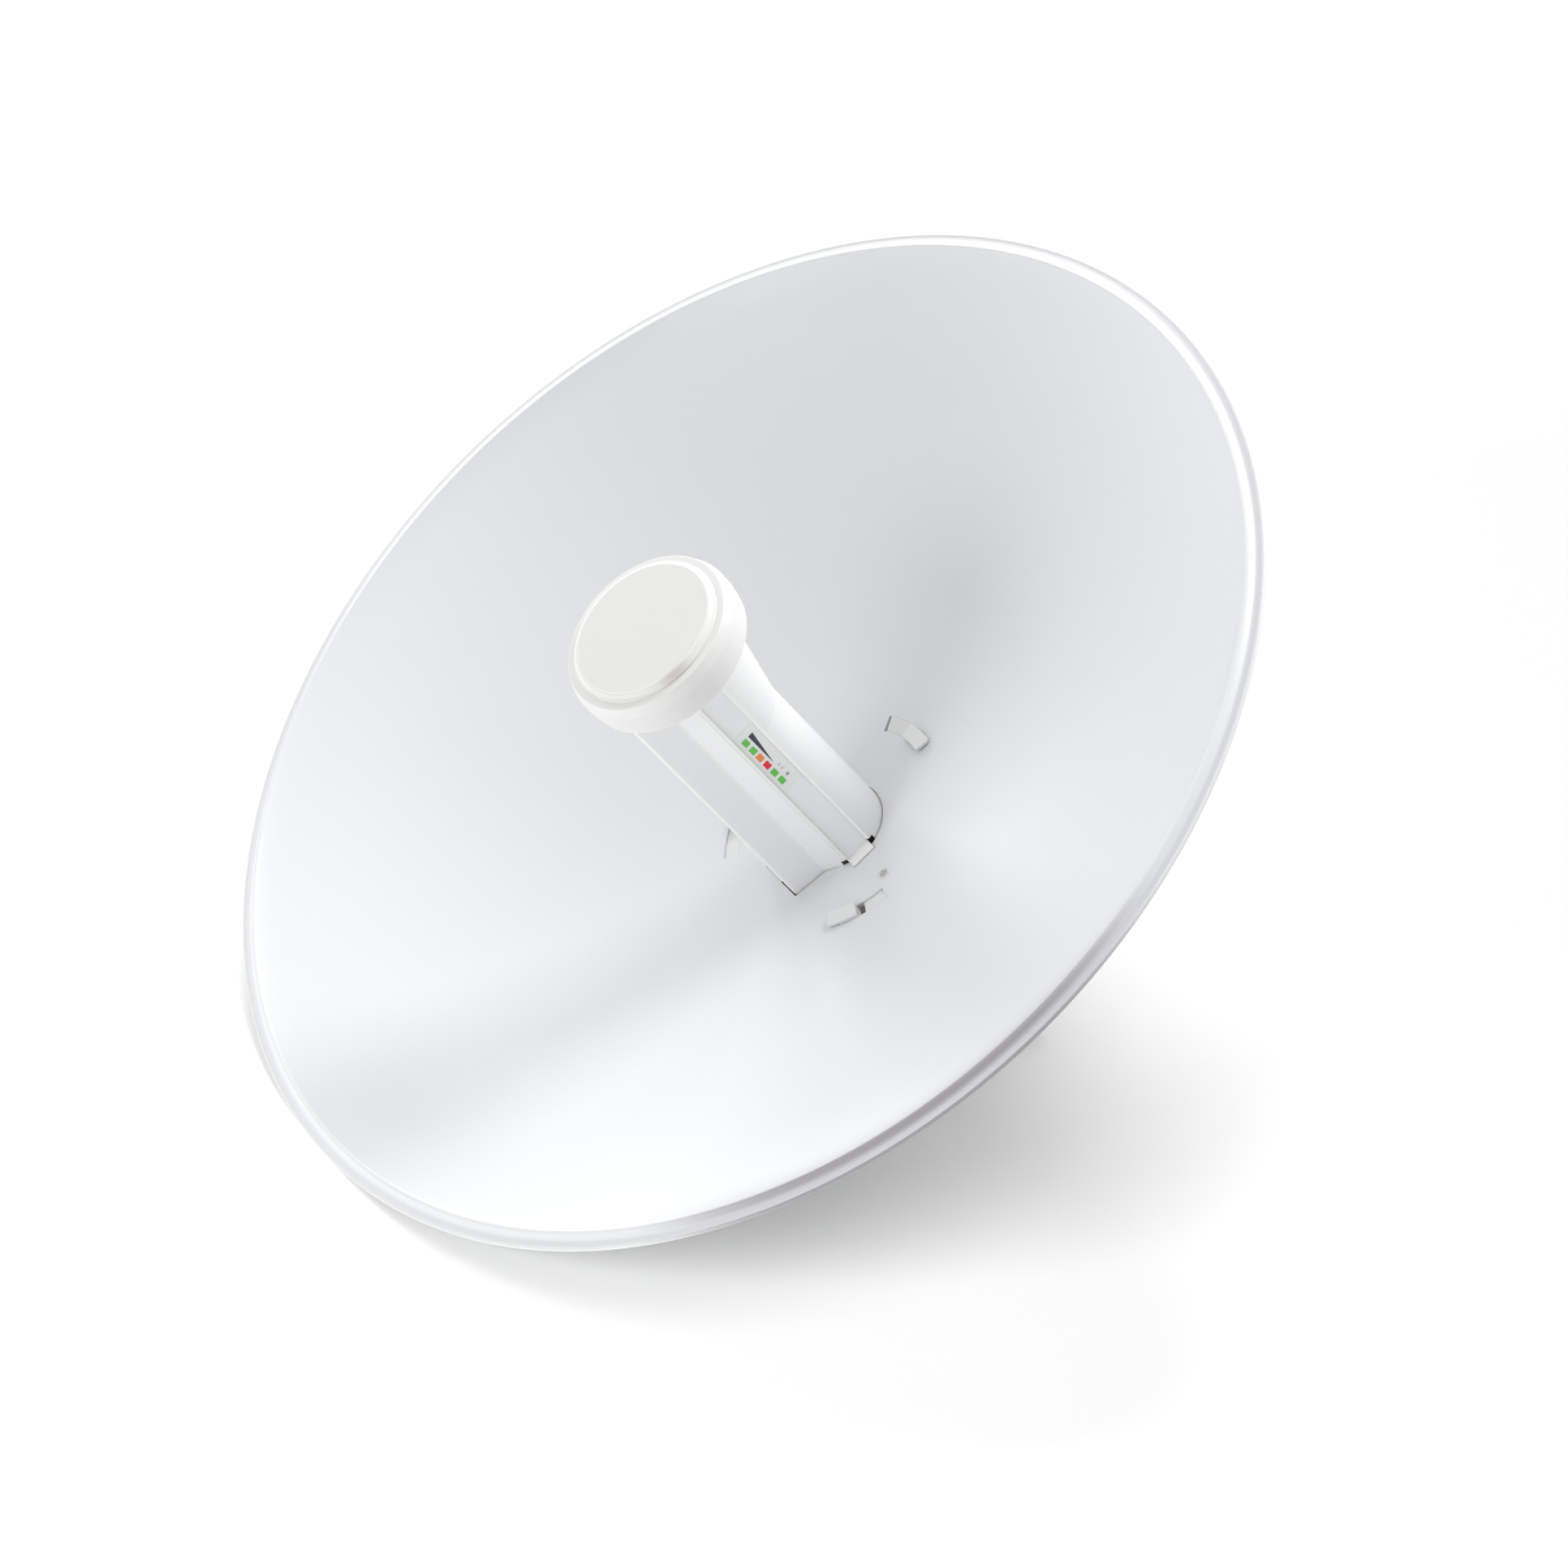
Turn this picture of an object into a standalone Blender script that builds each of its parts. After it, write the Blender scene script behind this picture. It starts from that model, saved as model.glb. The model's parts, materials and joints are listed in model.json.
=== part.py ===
# Wireless bridge dish antenna, leaning back on the rim of its reflector and on its pole clamp.
# Everything is modelled round the dish's own axis: +Z looks out of the bowl, +Y is up on the mast, and the
# origin is the bottom of the bowl. An empty then leans the whole antenna back until both feet are level.
import math

import bmesh
import bpy
from mathutils import Matrix, Vector

MM = 0.001
GAP = 0.3 * MM               # left between pieces that touch
MERGE = 0.00001

# Reflector: a pressed bowl with a beaded rim
RIM_RADIUS = 210 * MM
RIM_PLANE = 73.2 * MM        # the outer lip's height over the bottom of the bowl
BOWL_RADIUS = 201 * MM       # where the bowl ends and the bead starts
BOWL_DEPTH = 72.5 * MM
BOWL_START = 15 * MM         # the blank's centre hole, before the feed's hole is cut
SHEET = 1.5 * MM
CREST_RADIUS = 203.6 * MM    # the bead's top
CREST_HEIGHT = 75.4 * MM
GROOVE_RADIUS = 208.6 * MM   # the groove between the bead and the lip
GROOVE_DEPTH = 0.3 * MM
LIP_RADIUS = 209.4 * MM
RIM_DROP = 0.4 * MM          # the outer edge's top and bottom, under the rim plane
RIM_LOW = 0.9 * MM
RIM_CURL = 0.6 * MM          # the edge's curl inwards
BOWL_STEPS = 9
DISH_STEPS = 72

# Twist lock: three arc slots in the bowl, and the housing's lugs through them
SLOT_INNER = 40.2 * MM
SLOT_OUTER = 46.2 * MM
SLOT_START = math.radians(88)
SLOT_END = math.radians(114)
LUG_HEAD_START = math.radians(83)
LUG_END = math.radians(98)
LUG_TOP = 5.4 * MM
LUG_HEAD_THICK = 1.3 * MM
LUG_HEAD_PROUD = 0.6 * MM    # the head's overhang over the bowl, inwards
LUG_ROOT = -3 * MM
CORE_HOLE_END = math.radians(102)
LOCK_COUNT = 3
PIN_HOLE_RADIUS = 1.6 * MM
PIN_HOLE_PLACE = 34.7 * MM

# Feed: a tube with a round back, a flat on each side, and a keel
TUBE_RADIUS = 18.4 * MM
FLAT_TOP = 4.4 * MM
FLAT_LOW = -5.6 * MM
CORE_HALF = 13.7 * MM
KEEL_SHOULDER = 16.6 * MM
KEEL_NECK = 11 * MM
KEEL_NECK_Y = -14.2 * MM
KEEL_FOOT = 10.2 * MM
KEEL_LOW = -27.8 * MM
KEEL_ROUND = 1.5 * MM
STRIP_FACE = 16 * MM
STRIP_FOOT = 20.6 * MM
STRIP_FOOT_TOP = 1.2 * MM
FEED_LOW = -14 * MM
FEED_TOP = 118.2 * MM
FLARE_START = 74 * MM
FLARE_REACH = 26 * MM        # the round back's height at the cap
NOTCH_DEPTH = 2.4 * MM       # the small cut-outs beside the strip's foot
NOTCH_TOP = 2.8 * MM
NOTCH_REACH = 2 * MM         # how far a cutter passes the surface that it cuts

# Cap: the sub-reflector's cover on the front of the feed, a wall with a face piece set into it
CAP_RADIUS = 33.2 * MM
CAP_LOW = FEED_TOP + GAP
CAP_SHOULDER = 129.5 * MM    # from here the wall tapers to its front edge
CAP_FRONT = 31.8 * MM
CAP_EDGE = 133.6 * MM
CAP_SEAT = 130.7 * MM
CAP_STEP = 0.4 * MM          # the wall steps in twice on its way back to the feed
CAP_STEP_RISE = 3 * MM
CAP_CHAMFER = 0.9 * MM
FACE_RADIUS = 26.6 * MM      # the flat disc, and the slope round it
FACE_HEIGHT = 136 * MM
FACE_OUTER = 28.9 * MM
FACE_DROP = 1.9 * MM
CAP_STEPS = 48

# Hole in the bowl round the feed
HOLE_GROW = 0.8 * MM
CUT_REACH = 10 * MM

# Rear housing with its tilt knuckle, cable gland and port cover
HOUSING_RADIUS = 50.8 * MM
HOUSING_BACK = -30 * MM
HOUSING_BACK_RADIUS = 37 * MM
HOUSING_BRIM = 5 * MM        # the straight band under the front edge
HOUSING_WAIST = (48 * MM, -16 * MM)
HOUSING_HEEL = (41 * MM, -27 * MM)
HOUSING_CHAMFER = 0.8 * MM
HOUSING_RINGS = 4
KNUCKLE_HALF_X = 15 * MM
KNUCKLE_HALF_Y = 18 * MM
KNUCKLE_BACK = -50 * MM
KNUCKLE_ROUND = 7 * MM
KNUCKLE_ROOT = -26 * MM
GLAND_SEAT = -45 * MM        # the flat that the gland's flange sits on
GLAND_SEAT_HALF = 11 * MM
GLAND_Z = -14 * MM
GLAND_LENGTH = 12 * MM
GLAND_FLANGE = 9.4 * MM
GLAND_FLANGE_THICK = 2 * MM
GLAND_BODY = 6.7 * MM
GLAND_TIP = 5 * MM
CABLE_HOLE = 3.1 * MM
CABLE_HOLE_DEPTH = 9 * MM
PORT_LOW = -34 * MM
PORT_HIGH = -21 * MM
PORT_HALF = 11 * MM
PORT_THICK = 1.6 * MM
PORT_BEVEL = 0.6 * MM

# Tilt yoke
YOKE_SHEET = 3 * MM
YOKE_FRONT = -34 * MM
YOKE_BACK = -56 * MM
YOKE_HALF_Y = 20 * MM
YOKE_CORNER = 5 * MM
PLATE_HALF_X = 42 * MM
PLATE_HALF_Y = 15 * MM
TILT_Z = -42 * MM
PIVOT_Y = 10 * MM
LOCK_Y = -10 * MM
TILT_RANGE = math.radians(18)
BOLT_RADIUS = 4 * MM
HEX_RADIUS = 7.4 * MM
HEX_THICK = 5.5 * MM
WASHER_RADIUS = 8.6 * MM
WASHER_THICK = 1.4 * MM
BOLT_PROUD = 2 * MM          # the thread that shows past a nut

# Pole clamp
JAW_HALF_X = 42 * MM
FRONT_JAW_HALF_Y = 14 * MM
FRONT_JAW_BACK = -68 * MM
REAR_JAW_HALF_Y = 18 * MM
REAR_JAW_FRONT = -72 * MM
REAR_JAW_BACK = -85 * MM
VEE_HALF = 23 * MM
VEE_FLOOR = 6 * MM
VEE_DEPTH = 9 * MM
VEE_TEETH = 4
TOOTH = 1.2 * MM
TOOTH_LEAN = 0.75            # the share of a tooth's pitch that its long flank takes
CARRIAGE_X = 34 * MM
CARRIAGE_HEAD = 8 * MM
CARRIAGE_HEAD_THICK = 4 * MM
CARRIAGE_END = -94 * MM
BOLT_CHAMFER = 0.6 * MM
NUT_THICK = 6 * MM

WHITE_PAINT = (0.84, 0.85, 0.86, 1)
WHITE_PLASTIC = (0.86, 0.87, 0.87, 1)
WARM_PLASTIC = (0.79, 0.79, 0.76, 1)
LABEL_GREY = (0.70, 0.71, 0.72, 1)
GREY_PLASTIC = (0.55, 0.56, 0.57, 1)
ZINC = (0.62, 0.63, 0.64, 1)
RUBBER = (0.03, 0.03, 0.03, 1)

for old in list(bpy.data.objects):
    bpy.data.objects.remove(old, do_unlink=True)

parts = bpy.data.collections.new("wireless_bridge_dish_antenna")
cutters = bpy.data.collections.new("cutters")
bpy.context.scene.collection.children.link(parts)
bpy.context.scene.collection.children.link(cutters)


def paint(obj, colour, roughness, metallic=0.0):
    material = bpy.data.materials.new(obj.name)
    material.use_nodes = True
    shader = material.node_tree.nodes["Principled BSDF"]
    shader.inputs["Base Color"].default_value = colour
    shader.inputs["Roughness"].default_value = roughness
    shader.inputs["Metallic"].default_value = metallic
    obj.data.materials.append(material)
    return obj


def add_object(name, mesh, collection=parts):
    obj = bpy.data.objects.new(name, mesh)
    collection.objects.link(obj)
    obj.parent = antenna
    if collection is cutters:
        obj.hide_render = True
        obj.display_type = "WIRE"
    return obj


def mesh_from(bm, name):
    mesh = bpy.data.meshes.new(name)
    bm.to_mesh(mesh)
    bm.free()
    return mesh


def turned(name, profile, steps, closed=False, collection=parts):
    # The profile runs down the outer side, and the Screw modifier turns it about Z.
    bm = bmesh.new()
    points = [bm.verts.new((radius, 0, height)) for radius, height in profile]
    for first, second in zip(points, points[1:]):
        bm.edges.new((first, second))
    if closed:
        bm.edges.new((points[-1], points[0]))
    obj = add_object(name, mesh_from(bm, name), collection)
    screw = obj.modifiers.new("turn", "SCREW")
    screw.axis = "Z"
    screw.steps = steps
    screw.render_steps = steps
    screw.use_merge_vertices = True
    screw.merge_threshold = MERGE
    screw.use_smooth_shade = True
    return obj


def plate(name, outline, low, high, across=None, collection=parts):
    # A flat outline, thickened from low to high along Z, or along the axis that the matrix turns Z to.
    curve = bpy.data.curves.new(name, "CURVE")
    curve.dimensions = "2D"
    curve.fill_mode = "BOTH"
    curve.extrude = (high - low) / 2
    spline = curve.splines.new("POLY")
    spline.points.add(len(outline) - 1)
    for point, (x, y) in zip(spline.points, outline):
        point.co = (x, y, 0, 1)
    spline.use_cyclic_u = True
    flat = bpy.data.objects.new(name + "_outline", curve)
    cutters.objects.link(flat)
    evaluated = flat.evaluated_get(bpy.context.evaluated_depsgraph_get())
    mesh = bpy.data.meshes.new_from_object(evaluated)
    mesh.name = name
    bpy.data.objects.remove(flat, do_unlink=True)
    bm = bmesh.new()
    bm.from_mesh(mesh)
    bmesh.ops.remove_doubles(bm, verts=bm.verts, dist=MERGE)
    bmesh.ops.translate(bm, verts=bm.verts, vec=(0, 0, (low + high) / 2))
    if across is not None:
        bmesh.ops.transform(bm, matrix=across, verts=bm.verts)
    bmesh.ops.recalc_face_normals(bm, faces=bm.faces)
    bm.to_mesh(mesh)
    bm.free()
    return add_object(name, mesh, collection)


def rod(name, radius, start, end, segments=24, collection=parts):
    # A round or many-sided bar between two points.
    start, end = Vector(start), Vector(end)
    bm = bmesh.new()
    turn = (end - start).to_track_quat("Z", "Y").to_matrix().to_4x4()
    bmesh.ops.create_cone(bm, cap_ends=True, segments=segments, radius1=radius, radius2=radius,
                          depth=(end - start).length, matrix=Matrix.Translation((start + end) / 2) @ turn)
    return add_object(name, mesh_from(bm, name), collection)


def block(name, low, high, collection=parts):
    low, high = Vector(low), Vector(high)
    bm = bmesh.new()
    bmesh.ops.create_cube(bm, size=1)
    bmesh.ops.scale(bm, vec=high - low, verts=bm.verts)
    bmesh.ops.translate(bm, vec=(low + high) / 2, verts=bm.verts)
    return add_object(name, mesh_from(bm, name), collection)


def combine(obj, tool, operation):
    # DIFFERENCE cuts the tool out of the object, UNION joins the two into one piece.
    boolean = obj.modifiers.new(tool.name, "BOOLEAN")
    boolean.operation = operation
    boolean.object = tool


def arc(centre, radius, start, end, count):
    x, y = centre
    angles = [start + (end - start) * step / count for step in range(count + 1)]
    return [(x + radius * math.cos(angle), y + radius * math.sin(angle)) for angle in angles]


def both_sides(right):
    # Closes an outline whose right half runs from top to bottom.
    return right + [(-x, y) for x, y in reversed(right) if abs(x) > MERGE]


def sector(inner, outer, start, end, count=8):
    return arc((0, 0), inner, start, end, count) + arc((0, 0), outer, end, start, count)


def lock_turns():
    return [2 * math.pi * number / LOCK_COUNT for number in range(LOCK_COUNT)]


# Flat outlines drawn in the plane across the mast or along it: their Z turns to the named axis.
ALONG_X = Matrix(((0, 0, 1, 0), (1, 0, 0, 0), (0, 1, 0, 0), (0, 0, 0, 1)))    # drawn as (y, z)
ALONG_Y = Matrix(((1, 0, 0, 0), (0, 0, -1, 0), (0, 1, 0, 0), (0, 0, 0, 1)))   # drawn as (x, z)


def bowl_front(radius):
    return BOWL_DEPTH * (radius / BOWL_RADIUS) ** 2


def bowl_back(radius):
    slope = 2 * BOWL_DEPTH * radius / BOWL_RADIUS ** 2
    return bowl_front(radius) - SHEET * math.sqrt(1 + slope ** 2)


def ease(start, end, count):
    # A soft S between two points of a profile, its start left out.
    shares = [step / count for step in range(1, count + 1)]
    (inner, low), (outer, high) = start, end
    return [(inner + (outer - inner) * t, low + (high - low) * (1 - math.cos(math.pi * t)) / 2) for t in shares]


def keel_side(grow):
    # The right side of the feed under its flat, from the shoulder to the middle of the keel's foot.
    round_centre = (KEEL_FOOT + grow - KEEL_ROUND, KEEL_LOW - grow + KEEL_ROUND)
    return ([(KEEL_SHOULDER + grow, FLAT_LOW - GAP), (KEEL_NECK + grow, KEEL_NECK_Y - grow)]
            + arc(round_centre, KEEL_ROUND, 0, -math.pi / 2, 3))


def tube_arc(grow, count=10):
    # The right half of the round back, from the top down to the flat.
    radius = TUBE_RADIUS + grow
    return arc((0, 0), radius, math.pi / 2, math.asin(FLAT_TOP / radius), count)


def make_reflector():
    step = (BOWL_RADIUS - BOWL_START) / BOWL_STEPS
    radii = [BOWL_START + step * index for index in range(BOWL_STEPS + 1)]
    front = [(radius, bowl_front(radius)) for radius in radii]
    crest, groove = (CREST_RADIUS, CREST_HEIGHT), (GROOVE_RADIUS, RIM_PLANE - GROOVE_DEPTH)
    rim = ease(front[-1], crest, 4) + ease(crest, groove, 5) + [(LIP_RADIUS, RIM_PLANE)]
    rim += [(RIM_RADIUS, RIM_PLANE - RIM_DROP), (RIM_RADIUS, RIM_PLANE - RIM_LOW)]
    rim += [(RIM_RADIUS - RIM_CURL, RIM_PLANE - RIM_LOW - RIM_CURL)]
    back = [(radius, bowl_back(radius)) for radius in reversed(radii)]
    dish = turned("dish_reflector", front + rim + back, DISH_STEPS, closed=True)
    paint(dish, WHITE_PAINT, 0.35)

    foot = STRIP_FOOT + HOLE_GROW
    hole = tube_arc(HOLE_GROW) + [(foot, FLAT_TOP), (foot, FLAT_LOW - GAP)] + keel_side(HOLE_GROW)[:2]
    hole += [(KEEL_FOOT + HOLE_GROW, KEEL_LOW - HOLE_GROW)]
    combine(dish, plate("feed_hole", both_sides(hole), -CUT_REACH, CUT_REACH, collection=cutters), "DIFFERENCE")
    for number, turn in enumerate(lock_turns(), 1):
        outline = sector(SLOT_INNER, SLOT_OUTER, SLOT_START + turn, SLOT_END + turn)
        slot = plate(f"lock_slot_{number}", outline, -CUT_REACH, CUT_REACH, collection=cutters)
        combine(dish, slot, "DIFFERENCE")
    low, high = (PIN_HOLE_PLACE, 0, -CUT_REACH), (PIN_HOLE_PLACE, 0, CUT_REACH)
    combine(dish, rod("pin_hole", PIN_HOLE_RADIUS, low, high, 12, cutters), "DIFFERENCE")


def make_feed_shell():
    # The round back and the core in one piece. Past the flare's start the back swells towards the cap.
    right = tube_arc(0) + [(CORE_HALF, FLAT_TOP), (CORE_HALF, FLAT_LOW)]
    stretch = (FLARE_REACH - FLAT_TOP) / (TUBE_RADIUS - FLAT_TOP)
    bm = bmesh.new()
    section = bm.faces.new([bm.verts.new((x, y, FEED_LOW)) for x, y in both_sides(right)])
    for height, share in ((FLARE_START, 1), (FEED_TOP, stretch)):
        grown = bmesh.ops.extrude_face_region(bm, geom=[section])["geom"]
        section = next(item for item in grown if isinstance(item, bmesh.types.BMFace))
        for vert in section.verts:
            vert.co.z = height
            if vert.co.y > FLAT_TOP:
                vert.co.y = FLAT_TOP + (vert.co.y - FLAT_TOP) * share
    doubled = [face for face in bm.faces if all(abs(v.co.z - FLARE_START) < MERGE for v in face.verts)]
    bmesh.ops.delete(bm, geom=doubled, context="FACES_ONLY")
    bmesh.ops.recalc_face_normals(bm, faces=bm.faces)
    shell = add_object("feed_shell", mesh_from(bm, "feed_shell"))
    paint(shell, WHITE_PLASTIC, 0.3)
    cut_notches(shell, "shell", FLAT_TOP - NOTCH_REACH, FLAT_TOP + NOTCH_DEPTH)


def make_feed_keel():
    top = [(0, FLAT_LOW - GAP)]
    keel = plate("feed_keel", both_sides(top + keel_side(0)), FEED_LOW, FEED_TOP)
    paint(keel, WHITE_PLASTIC, 0.35)
    cut_notches(keel, "keel", FLAT_LOW - NOTCH_DEPTH, FLAT_LOW + NOTCH_REACH)


def cut_notches(obj, word, low_y, high_y):
    # A small window beside each strip's foot, through the outer wall only.
    near, far = CORE_HALF - NOTCH_REACH / 4, TUBE_RADIUS + NOTCH_REACH
    for side, hand in ((-1, "left"), (1, "right")):
        low_x, high_x = sorted((side * near, side * far))
        low, high = (low_x, low_y, FEED_LOW - NOTCH_REACH), (high_x, high_y, NOTCH_TOP)
        combine(obj, block(f"{word}_notch_{hand}", low, high, cutters), "DIFFERENCE")


def make_strips():
    # The light strip is on the side that the photograph shows, and a plain one mirrors it. Each has a foot
    # that lies in the bowl's hole.
    inner = CORE_HALF + GAP
    low = bowl_back(STRIP_FOOT)
    outline = [(inner, low), (STRIP_FOOT, low), (STRIP_FOOT, STRIP_FOOT_TOP), (STRIP_FACE, STRIP_FOOT_TOP)]
    outline += [(STRIP_FACE, FEED_TOP), (inner, FEED_TOP)]
    for name, side, colour in (("led_strip", 1, LABEL_GREY), ("plain_strip", -1, WHITE_PLASTIC)):
        mirrored = [(side * x, z) for x, z in outline]
        paint(plate(name, mirrored, GAP - FLAT_TOP, -FLAT_LOW, ALONG_Y), colour, 0.35)


def make_cap():
    inner = FACE_OUTER + GAP
    first, second = CAP_LOW + 2 * CAP_STEP_RISE, CAP_LOW + CAP_STEP_RISE
    skirt = [(0, CAP_SEAT), (inner, CAP_SEAT), (inner, CAP_EDGE), (CAP_FRONT, CAP_EDGE)]
    skirt += [(CAP_RADIUS, CAP_SHOULDER), (CAP_RADIUS, first), (CAP_RADIUS - CAP_STEP, first - CAP_STEP)]
    skirt += [(CAP_RADIUS - CAP_STEP, second), (CAP_RADIUS - 2 * CAP_STEP, second - CAP_STEP)]
    skirt += [(CAP_RADIUS - 2 * CAP_STEP, CAP_LOW + CAP_CHAMFER)]
    skirt += [(CAP_RADIUS - 2 * CAP_STEP - CAP_CHAMFER, CAP_LOW), (0, CAP_LOW)]
    paint(turned("cap_skirt", skirt, CAP_STEPS), WHITE_PLASTIC, 0.3)
    face = [(0, FACE_HEIGHT), (FACE_RADIUS, FACE_HEIGHT), (FACE_OUTER, FACE_HEIGHT - FACE_DROP)]
    face += [(FACE_OUTER, CAP_SEAT + GAP), (0, CAP_SEAT + GAP)]
    paint(turned("cap_face", face, CAP_STEPS), WARM_PLASTIC, 0.3)


def make_housing():
    edge = HOUSING_RADIUS - HOUSING_CHAMFER
    radii = [edge * ring / HOUSING_RINGS for ring in range(HOUSING_RINGS + 1)]
    front = [(radius, bowl_back(radius) - GAP) for radius in radii]
    brim = front[-1][1]
    side = [(HOUSING_RADIUS, brim - HOUSING_CHAMFER), (HOUSING_RADIUS, brim - HOUSING_BRIM), HOUSING_WAIST]
    side += [HOUSING_HEEL, (HOUSING_BACK_RADIUS, HOUSING_BACK), (0, HOUSING_BACK)]
    housing = turned("rear_housing", front + side, CAP_STEPS)
    paint(housing, WHITE_PLASTIC, 0.4)

    corner_y, corner_z = KNUCKLE_HALF_Y - KNUCKLE_ROUND, KNUCKLE_BACK + KNUCKLE_ROUND
    knuckle = [(KNUCKLE_HALF_Y, KNUCKLE_ROOT)]
    knuckle += arc((corner_y, corner_z), KNUCKLE_ROUND, 0, -math.pi / 2, 5)
    knuckle += arc((-corner_y, corner_z), KNUCKLE_ROUND, -math.pi / 2, -math.pi, 5)
    knuckle += [(-KNUCKLE_HALF_Y, KNUCKLE_ROOT)]
    combine(housing, plate("knuckle", knuckle, -KNUCKLE_HALF_X, KNUCKLE_HALF_X, ALONG_X, cutters), "UNION")

    inner, outer = SLOT_INNER + GAP, SLOT_OUTER - GAP
    slack = GAP / inner
    for number, turn in enumerate(lock_turns(), 1):
        stem = sector(inner, outer, SLOT_START + slack + turn, LUG_END + turn, 4)
        head_foot = LUG_TOP - LUG_HEAD_THICK
        stem_top = head_foot + LUG_HEAD_THICK / 2
        combine(housing, plate(f"lug_stem_{number}", stem, LUG_ROOT, stem_top, collection=cutters), "UNION")
        head = sector(inner - LUG_HEAD_PROUD, outer, LUG_HEAD_START + turn, LUG_END + slack / 4 + turn, 4)
        combine(housing, plate(f"lug_head_{number}", head, head_foot, LUG_TOP, collection=cutters), "UNION")
        core = sector(inner, outer, LUG_END + slack + turn, CORE_HOLE_END + turn, 2)
        low = 2 * LUG_ROOT
        combine(housing, plate(f"core_hole_{number}", core, low, CUT_REACH, collection=cutters), "DIFFERENCE")

    pocket = tube_arc(GAP) + keel_side(GAP)[:2] + [(KEEL_FOOT + GAP, KEEL_LOW - GAP)]
    low = FEED_LOW - GAP
    combine(housing, plate("feed_pocket", both_sides(pocket), low, CUT_REACH, collection=cutters), "DIFFERENCE")
    for name, place in (("pivot_bore", PIVOT_Y), ("lock_bore", LOCK_Y)):
        combine(housing, cross_bore(name, place, KNUCKLE_HALF_X), "DIFFERENCE")
    low = (-GLAND_SEAT_HALF, -HOUSING_RADIUS - CUT_REACH, GLAND_Z - GLAND_SEAT_HALF)
    high = (GLAND_SEAT_HALF, GLAND_SEAT, GLAND_Z + GLAND_SEAT_HALF)
    combine(housing, block("gland_seat", low, high, cutters), "DIFFERENCE")


def make_gland():
    # The inlet of the network cable, pointing down the mast.
    tip = GLAND_LENGTH
    profile = [(0, tip - CABLE_HOLE_DEPTH), (CABLE_HOLE, tip - CABLE_HOLE_DEPTH), (CABLE_HOLE, tip)]
    profile += [(GLAND_TIP, tip), (GLAND_BODY, GLAND_FLANGE_THICK), (GLAND_FLANGE, GLAND_FLANGE_THICK)]
    profile += [(GLAND_FLANGE, 0), (0, 0)]
    gland = paint(turned("cable_gland", profile, 32), RUBBER, 0.6)
    gland.rotation_euler = (math.pi / 2, 0, 0)
    gland.location = (0, GLAND_SEAT - GAP, GLAND_Z)


def make_port_cover():
    top = HOUSING_BACK - GAP
    cover = block("port_cover", (-PORT_HALF, PORT_LOW, top - PORT_THICK), (PORT_HALF, PORT_HIGH, top))
    bevel = cover.modifiers.new("edge", "BEVEL")
    bevel.width = PORT_BEVEL
    bevel.segments = 1
    paint(cover, GREY_PLASTIC, 0.5)


def cross_bore(name, place, half):
    # A bolt's hole across the mast: place is its height, half the width of what it goes through.
    reach = half + CUT_REACH
    return rod(name, BOLT_RADIUS + GAP, (-reach, place, TILT_Z), (reach, place, TILT_Z), 24, cutters)


def make_yoke():
    # Two cheeks on a plate. The lock bolt's slot is an arc about the pivot.
    plate_front = YOKE_BACK + YOKE_SHEET
    corners = (-PLATE_HALF_X, -PLATE_HALF_Y, YOKE_BACK), (PLATE_HALF_X, PLATE_HALF_Y, plate_front)
    yoke = paint(block("tilt_yoke", *corners), ZINC, 0.4, 0.8)
    corner = YOKE_CORNER
    root = YOKE_BACK + YOKE_SHEET / 2
    outline = [(YOKE_HALF_Y, root)]
    outline += arc((YOKE_HALF_Y - corner, YOKE_FRONT - corner), corner, 0, math.pi / 2, 4)
    outline += arc((corner - YOKE_HALF_Y, YOKE_FRONT - corner), corner, math.pi / 2, math.pi, 4)
    outline += [(-YOKE_HALF_Y, root)]
    for side, hand in ((-1, "left"), (1, "right")):
        near, far = sorted((side * (KNUCKLE_HALF_X + GAP), side * (KNUCKLE_HALF_X + GAP + YOKE_SHEET)))
        combine(yoke, plate(f"yoke_cheek_{hand}", outline, near, far, ALONG_X, cutters), "UNION")
    outside = KNUCKLE_HALF_X + YOKE_SHEET
    combine(yoke, cross_bore("yoke_pivot_hole", PIVOT_Y, outside), "DIFFERENCE")
    arm = PIVOT_Y - LOCK_Y
    half = BOLT_RADIUS + GAP
    low_end, high_end = math.pi - TILT_RANGE, math.pi + TILT_RANGE
    low_centre, high_centre = arc((PIVOT_Y, TILT_Z), arm, low_end, high_end, 1)
    slot = arc((PIVOT_Y, TILT_Z), arm + half, low_end, high_end, 6)
    slot += arc(high_centre, half, high_end, high_end + math.pi, 5)[1:-1]
    slot += arc((PIVOT_Y, TILT_Z), arm - half, high_end, low_end, 6)
    slot += arc(low_centre, half, low_end - math.pi, low_end, 5)[1:-1]
    reach = outside + CUT_REACH
    combine(yoke, plate("yoke_slot", slot, -reach, reach, ALONG_X, cutters), "DIFFERENCE")
    for side, hand in ((-1, "left"), (1, "right")):
        combine(yoke, mast_bore(f"yoke_hole_{hand}", side), "DIFFERENCE")


def mast_bore(name, side):
    # A carriage bolt's hole, along the dish's axis.
    place = side * CARRIAGE_X
    low, high = (place, 0, CARRIAGE_END - CUT_REACH), (place, 0, YOKE_BACK + CUT_REACH)
    return rod(name, BOLT_RADIUS + GAP, low, high, 24, cutters)


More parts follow.
